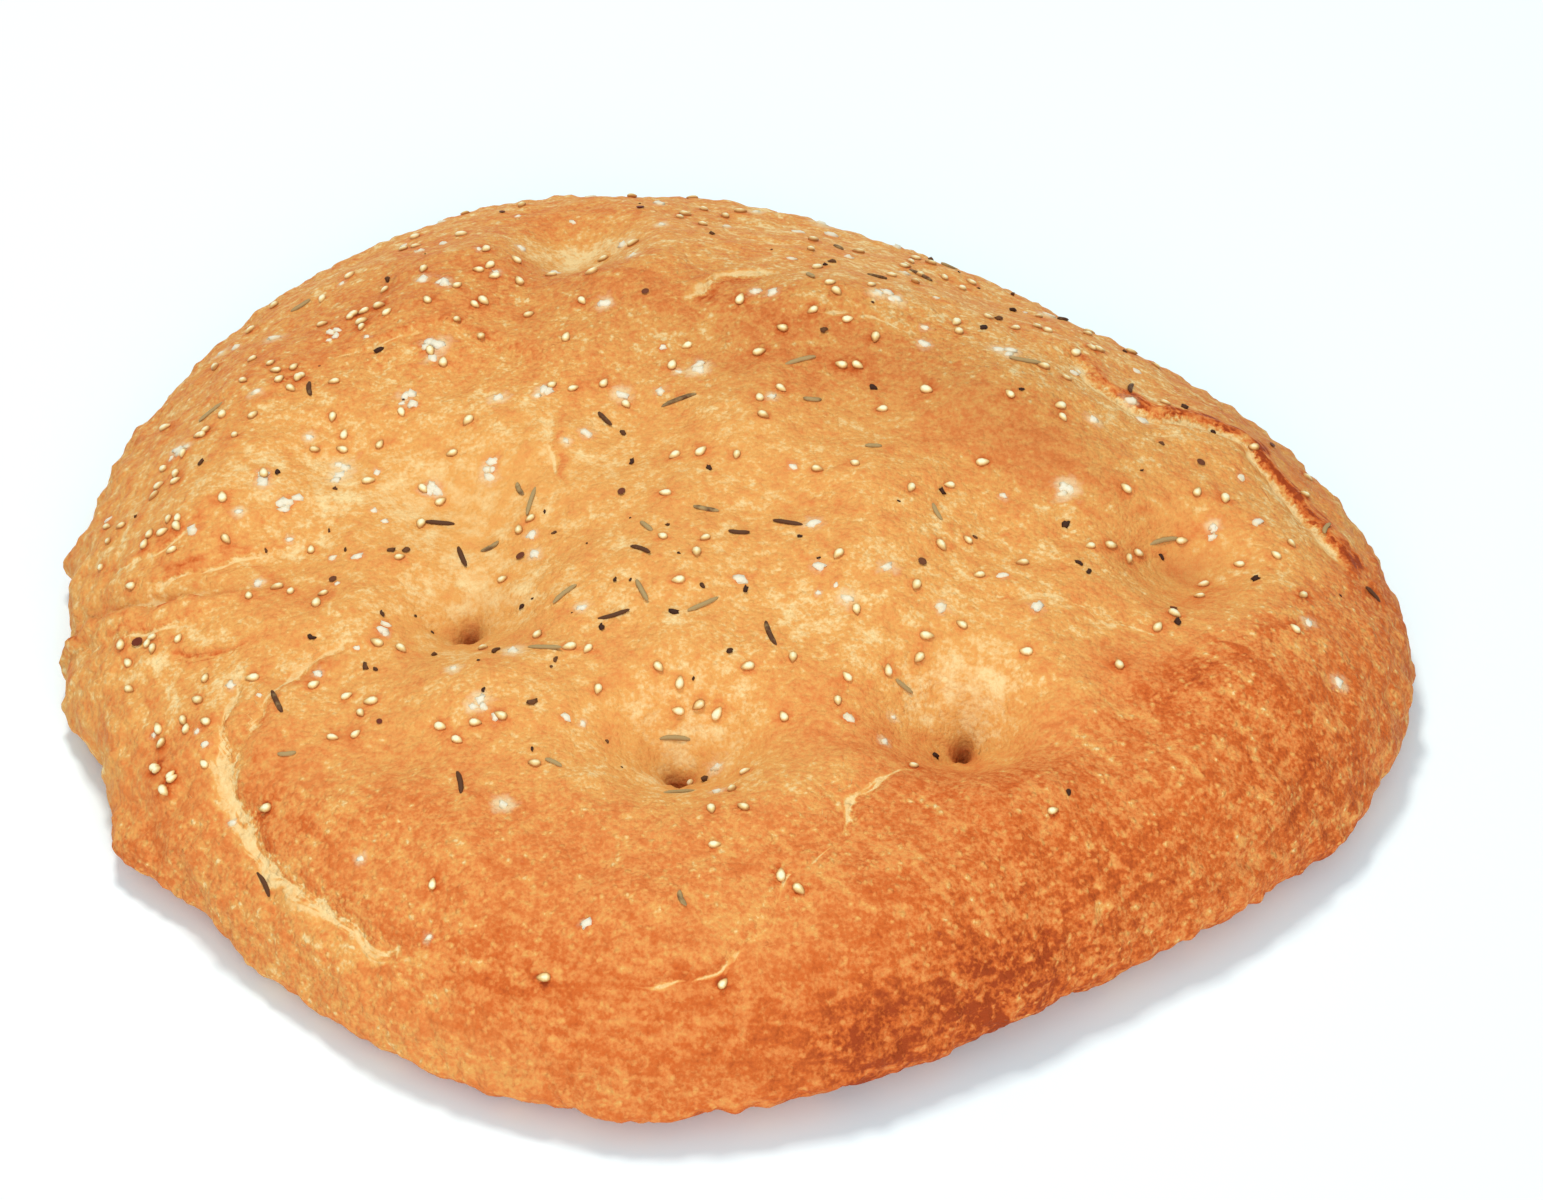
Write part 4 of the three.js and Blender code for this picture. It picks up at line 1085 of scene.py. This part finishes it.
class FOCACCIA_OT_loaf(bpy.types.Operator):
    """Build the loaf: its domed skin with dimples and folds, and its baked crust"""

    bl_idname = "focaccia.loaf"
    bl_label = "Loaf"

    def execute(self, context):
        loaf = Loaf(context.scene.focaccia_loaf)
        points, quads, triangles, layers = dressed_loaf(loaf)
        places = scatter(loaf)
        # Painted contact shade: the upper crust is made darker in a ring round each sesame seed and salt
        # grain
        upper = points[:, 2] > loaf.widest_height
        for x, y, length, _, _ in np.vstack([places["sesame"], places["salt"]]):
            away = np.hypot(points[:, 0] - x, points[:, 1] - y) / (SEED_SHADE_REACH * length / 2)
            layers["bake"] += SEED_SHADE_TONE * np.exp(-(away**SEED_SHADE_POWER)) * upper
        dust = np.zeros(len(points))
        for x, y, length, _, tilt in places["salt"]:
            halo = (DUST_REACH + DUST_REACH_VARIES * tilt) * length
            spread = bell(np.hypot(points[:, 0] - x, points[:, 1] - y) / halo)
            dust = np.maximum(dust, (DUST + DUST_VARIES * tilt) * spread)
        layers["dust"] = np.clip(dust * upper, 0, 1)
        piece = put_mesh("loaf", points - loaf.middle, [quads, triangles], layers)
        dress(piece, crust_finish(context.scene.focaccia_loaf))
        return {"FINISHED"}


class FOCACCIA_OT_sesame(bpy.types.Operator):
    """Strew the sesame seeds: flat drops, blunt at one end and narrow at the other"""

    bl_idname = "focaccia.sesame"
    bl_label = "Sesame seeds"

    def execute(self, context):
        toppings = context.scene.focaccia_toppings
        rows, ball = topping_rows(context, "sesame")
        along = ball[:, :1]
        drop = np.hstack([along, ball[:, 1:] * (1 - SEED_TAPER * along - SEED_BLUNT * along**2)])
        sizes = rows[:, 2:3] / 2 * (1, toppings.sesame_width, toppings.sesame_thickness)
        colours = (toppings.sesame, toppings.golden_seed, toppings.toasted_and_shade)
        strew("sesame", rows, drop[None], sizes, colours)
        return {"FINISHED"}


class FOCACCIA_OT_salt(bpy.types.Operator):
    """Strew the salt: rough, rounded grains, each with its own lumps"""

    bl_idname = "focaccia.salt"
    bl_label = "Salt grains"

    def execute(self, context):
        toppings = context.scene.focaccia_toppings
        rows, ball = topping_rows(context, "salt")
        grains = lumpy(ball, len(rows), SALT_LUMPS, SALT_SEED)
        strew("salt", rows, grains, rows[:, 2:3] / 2 * SALT_SIZE, (toppings.salt, toppings.melted))
        return {"FINISHED"}


class FOCACCIA_OT_rosemary(bpy.types.Operator):
    """Strew the rosemary: dried needles, bowed along their length and rolled in at their edges"""

    bl_idname = "focaccia.rosemary"
    bl_label = "Rosemary needles"

    def execute(self, context):
        toppings = context.scene.focaccia_toppings
        rows, ball = topping_rows(context, "rosemary")
        along = np.sin(ball[:, 0] * np.pi / 2)
        girth = np.maximum(np.hypot(ball[:, 1], ball[:, 2]), LEAST_GIRTH)
        blunt = (1 - np.abs(along) ** NEEDLE_POWER) / girth
        needle = np.stack([along, ball[:, 1] * blunt, ball[:, 2] * blunt], axis=-1)
        shapes = np.repeat(needle[None], len(rows), axis=0)
        shapes[:, :, 1] += NEEDLE_BOW * rows[:, 4:5] * (along**2 - NEEDLE_BOW_MIDDLE)
        girths = np.array((toppings.needle_width, toppings.needle_thickness)) / MM / 2
        sizes = np.hstack([rows[:, 2:3] / 2, np.tile(girths, (len(rows), 1))])
        strew("rosemary", rows, shapes, sizes, (toppings.dark_needle, toppings.dry_needle))
        return {"FINISHED"}


class FOCACCIA_OT_pepper(bpy.types.Operator):
    """Strew the pepper: small, angular, dark bits"""

    bl_idname = "focaccia.pepper"
    bl_label = "Pepper bits"

    def execute(self, context):
        toppings = context.scene.focaccia_toppings
        rows, ball = topping_rows(context, "pepper")
        bits = lumpy(ball, len(rows), PEPPER_LUMPS, PEPPER_SEED)
        strew("pepper", rows, bits, rows[:, 2:3] / 2 * PEPPER_SIZE, (toppings.pepper, toppings.husk))
        return {"FINISHED"}


class FOCACCIA_OT_flakes(bpy.types.Operator):
    """Strew the red-brown flakes: thin cupped discs"""

    bl_idname = "focaccia.flakes"
    bl_label = "Red flakes"

    def execute(self, context):
        toppings = context.scene.focaccia_toppings
        rows, ball = topping_rows(context, "flakes")
        ball[:, 2] += FLAKE_CUP * (ball[:, 0] ** 2 + ball[:, 1] ** 2)
        strew("flakes", rows, ball[None], rows[:, 2:3] / 2 * FLAKE_SIZE, (toppings.flake, toppings.husk))
        return {"FINISHED"}


def look_at(thing, spot, target):
    """Puts a camera or light at a spot, turned to a target."""
    thing.location = spot
    thing.rotation_euler = (Vector(target) - Vector(spot)).to_track_quat("-Z", "Y").to_euler()
    bpy.context.scene.collection.objects.link(thing)


def soft_light(name, light, power):
    """A square area light, turned to the bread."""
    lamp = bpy.data.lights.new(name, "AREA")
    lamp.size = light.size
    lamp.energy = power
    lamp.color = light.colour
    look_at(bpy.data.objects.new(name, lamp), light.spot, LIGHT_TARGET)


class FOCACCIA_OT_stage(bpy.types.Operator):
    """Set the stage: a plain pale floor, soft lights, and the camera at the photo's angle"""

    bl_idname = "focaccia.stage"
    bl_label = "Stage"

    def execute(self, context):
        stage = context.scene.focaccia_stage
        mesh = bpy.data.meshes.new("floor")
        corners = [(x * FLOOR_REACH, y * FLOOR_REACH, -FLOOR_DROP) for x, y in FLOOR_CORNERS]
        mesh.from_pydata(corners, [], [(0, 1, 2, 3)])
        floor = bpy.data.objects.new("floor", mesh)
        context.scene.collection.objects.link(floor)
        finish = Finish("floor")
        colour = shade(stage.floor)
        finish.feed(Base_Color=colour, Roughness=FLOOR_ROUGHNESS, Specular_IOR_Level=FLOOR_GLOSS)
        mesh.materials.append(finish.material)

        world = bpy.data.worlds.new("surroundings")
        world.use_nodes = True
        sky = world.node_tree.nodes["Background"].inputs
        sky["Color"].default_value = shade(SKY_COLOUR)
        sky["Strength"].default_value = stage.sky
        context.scene.world = world
        soft_light("key", KEY, stage.key_power)
        soft_light("fill", FILL, stage.fill_power)

        camera = bpy.data.cameras.new("camera")
        bread_width = (CAD_BOX[1] - CAD_BOX[0]).x
        frame_width = PHOTO_WIDTH * bread_width / BREAD_WIDTH_PIXELS
        camera.lens = camera.sensor_width * stage.distance / frame_width
        camera.shift_x = (PHOTO_WIDTH / 2 - PHOTO_MIDDLE_X) / PHOTO_WIDTH
        camera.shift_y = (PHOTO_MIDDLE_Y - PHOTO_HEIGHT / 2) / PHOTO_WIDTH
        back = Vector((0, -math.cos(stage.elevation), math.sin(stage.elevation)))
        aim = Vector((0, 0, stage.aim_height))
        view = bpy.data.objects.new("camera", camera)
        look_at(view, aim + stage.distance * back, aim)
        context.scene.camera = view
        context.scene.view_settings.view_transform = "Standard"
        return {"FINISHED"}


class FOCACCIA_PT_panel(bpy.types.Panel):
    """Lists the pieces and their settings"""

    bl_idname = "FOCACCIA_PT_panel"
    bl_label = "Focaccia"
    bl_space_type = "VIEW_3D"
    bl_region_type = "UI"
    bl_category = "Focaccia"

    def draw(self, context):
        for operator in OPERATORS:
            self.layout.operator(operator.bl_idname)
        for group in GROUPS:
            box = self.layout.box()
            settings = getattr(context.scene, group)
            for name in settings.__annotations__:
                box.prop(settings, name)


GROUPS = {
    "focaccia_loaf": FocacciaLoaf,
    "focaccia_toppings": FocacciaToppings,
    "focaccia_stage": FocacciaStage,
}
OPERATORS = (
    FOCACCIA_OT_loaf,
    FOCACCIA_OT_sesame,
    FOCACCIA_OT_salt,
    FOCACCIA_OT_rosemary,
    FOCACCIA_OT_pepper,
    FOCACCIA_OT_flakes,
    FOCACCIA_OT_stage,
)


def register():
    for item in (*GROUPS.values(), *OPERATORS, FOCACCIA_PT_panel):
        bpy.utils.register_class(item)
    for name, group in GROUPS.items():
        setattr(bpy.types.Scene, name, PointerProperty(type=group))


def unregister():
    for name in GROUPS:
        delattr(bpy.types.Scene, name)
    for item in (FOCACCIA_PT_panel, *reversed(OPERATORS), *reversed(GROUPS.values())):
        bpy.utils.unregister_class(item)


def main():
    """Builds every piece in order."""
    register()
    bpy.ops.focaccia.loaf()
    bpy.ops.focaccia.sesame()
    bpy.ops.focaccia.salt()
    bpy.ops.focaccia.rosemary()
    bpy.ops.focaccia.pepper()
    bpy.ops.focaccia.flakes()
    bpy.ops.focaccia.stage()


if __name__ == "__main__":
    main()
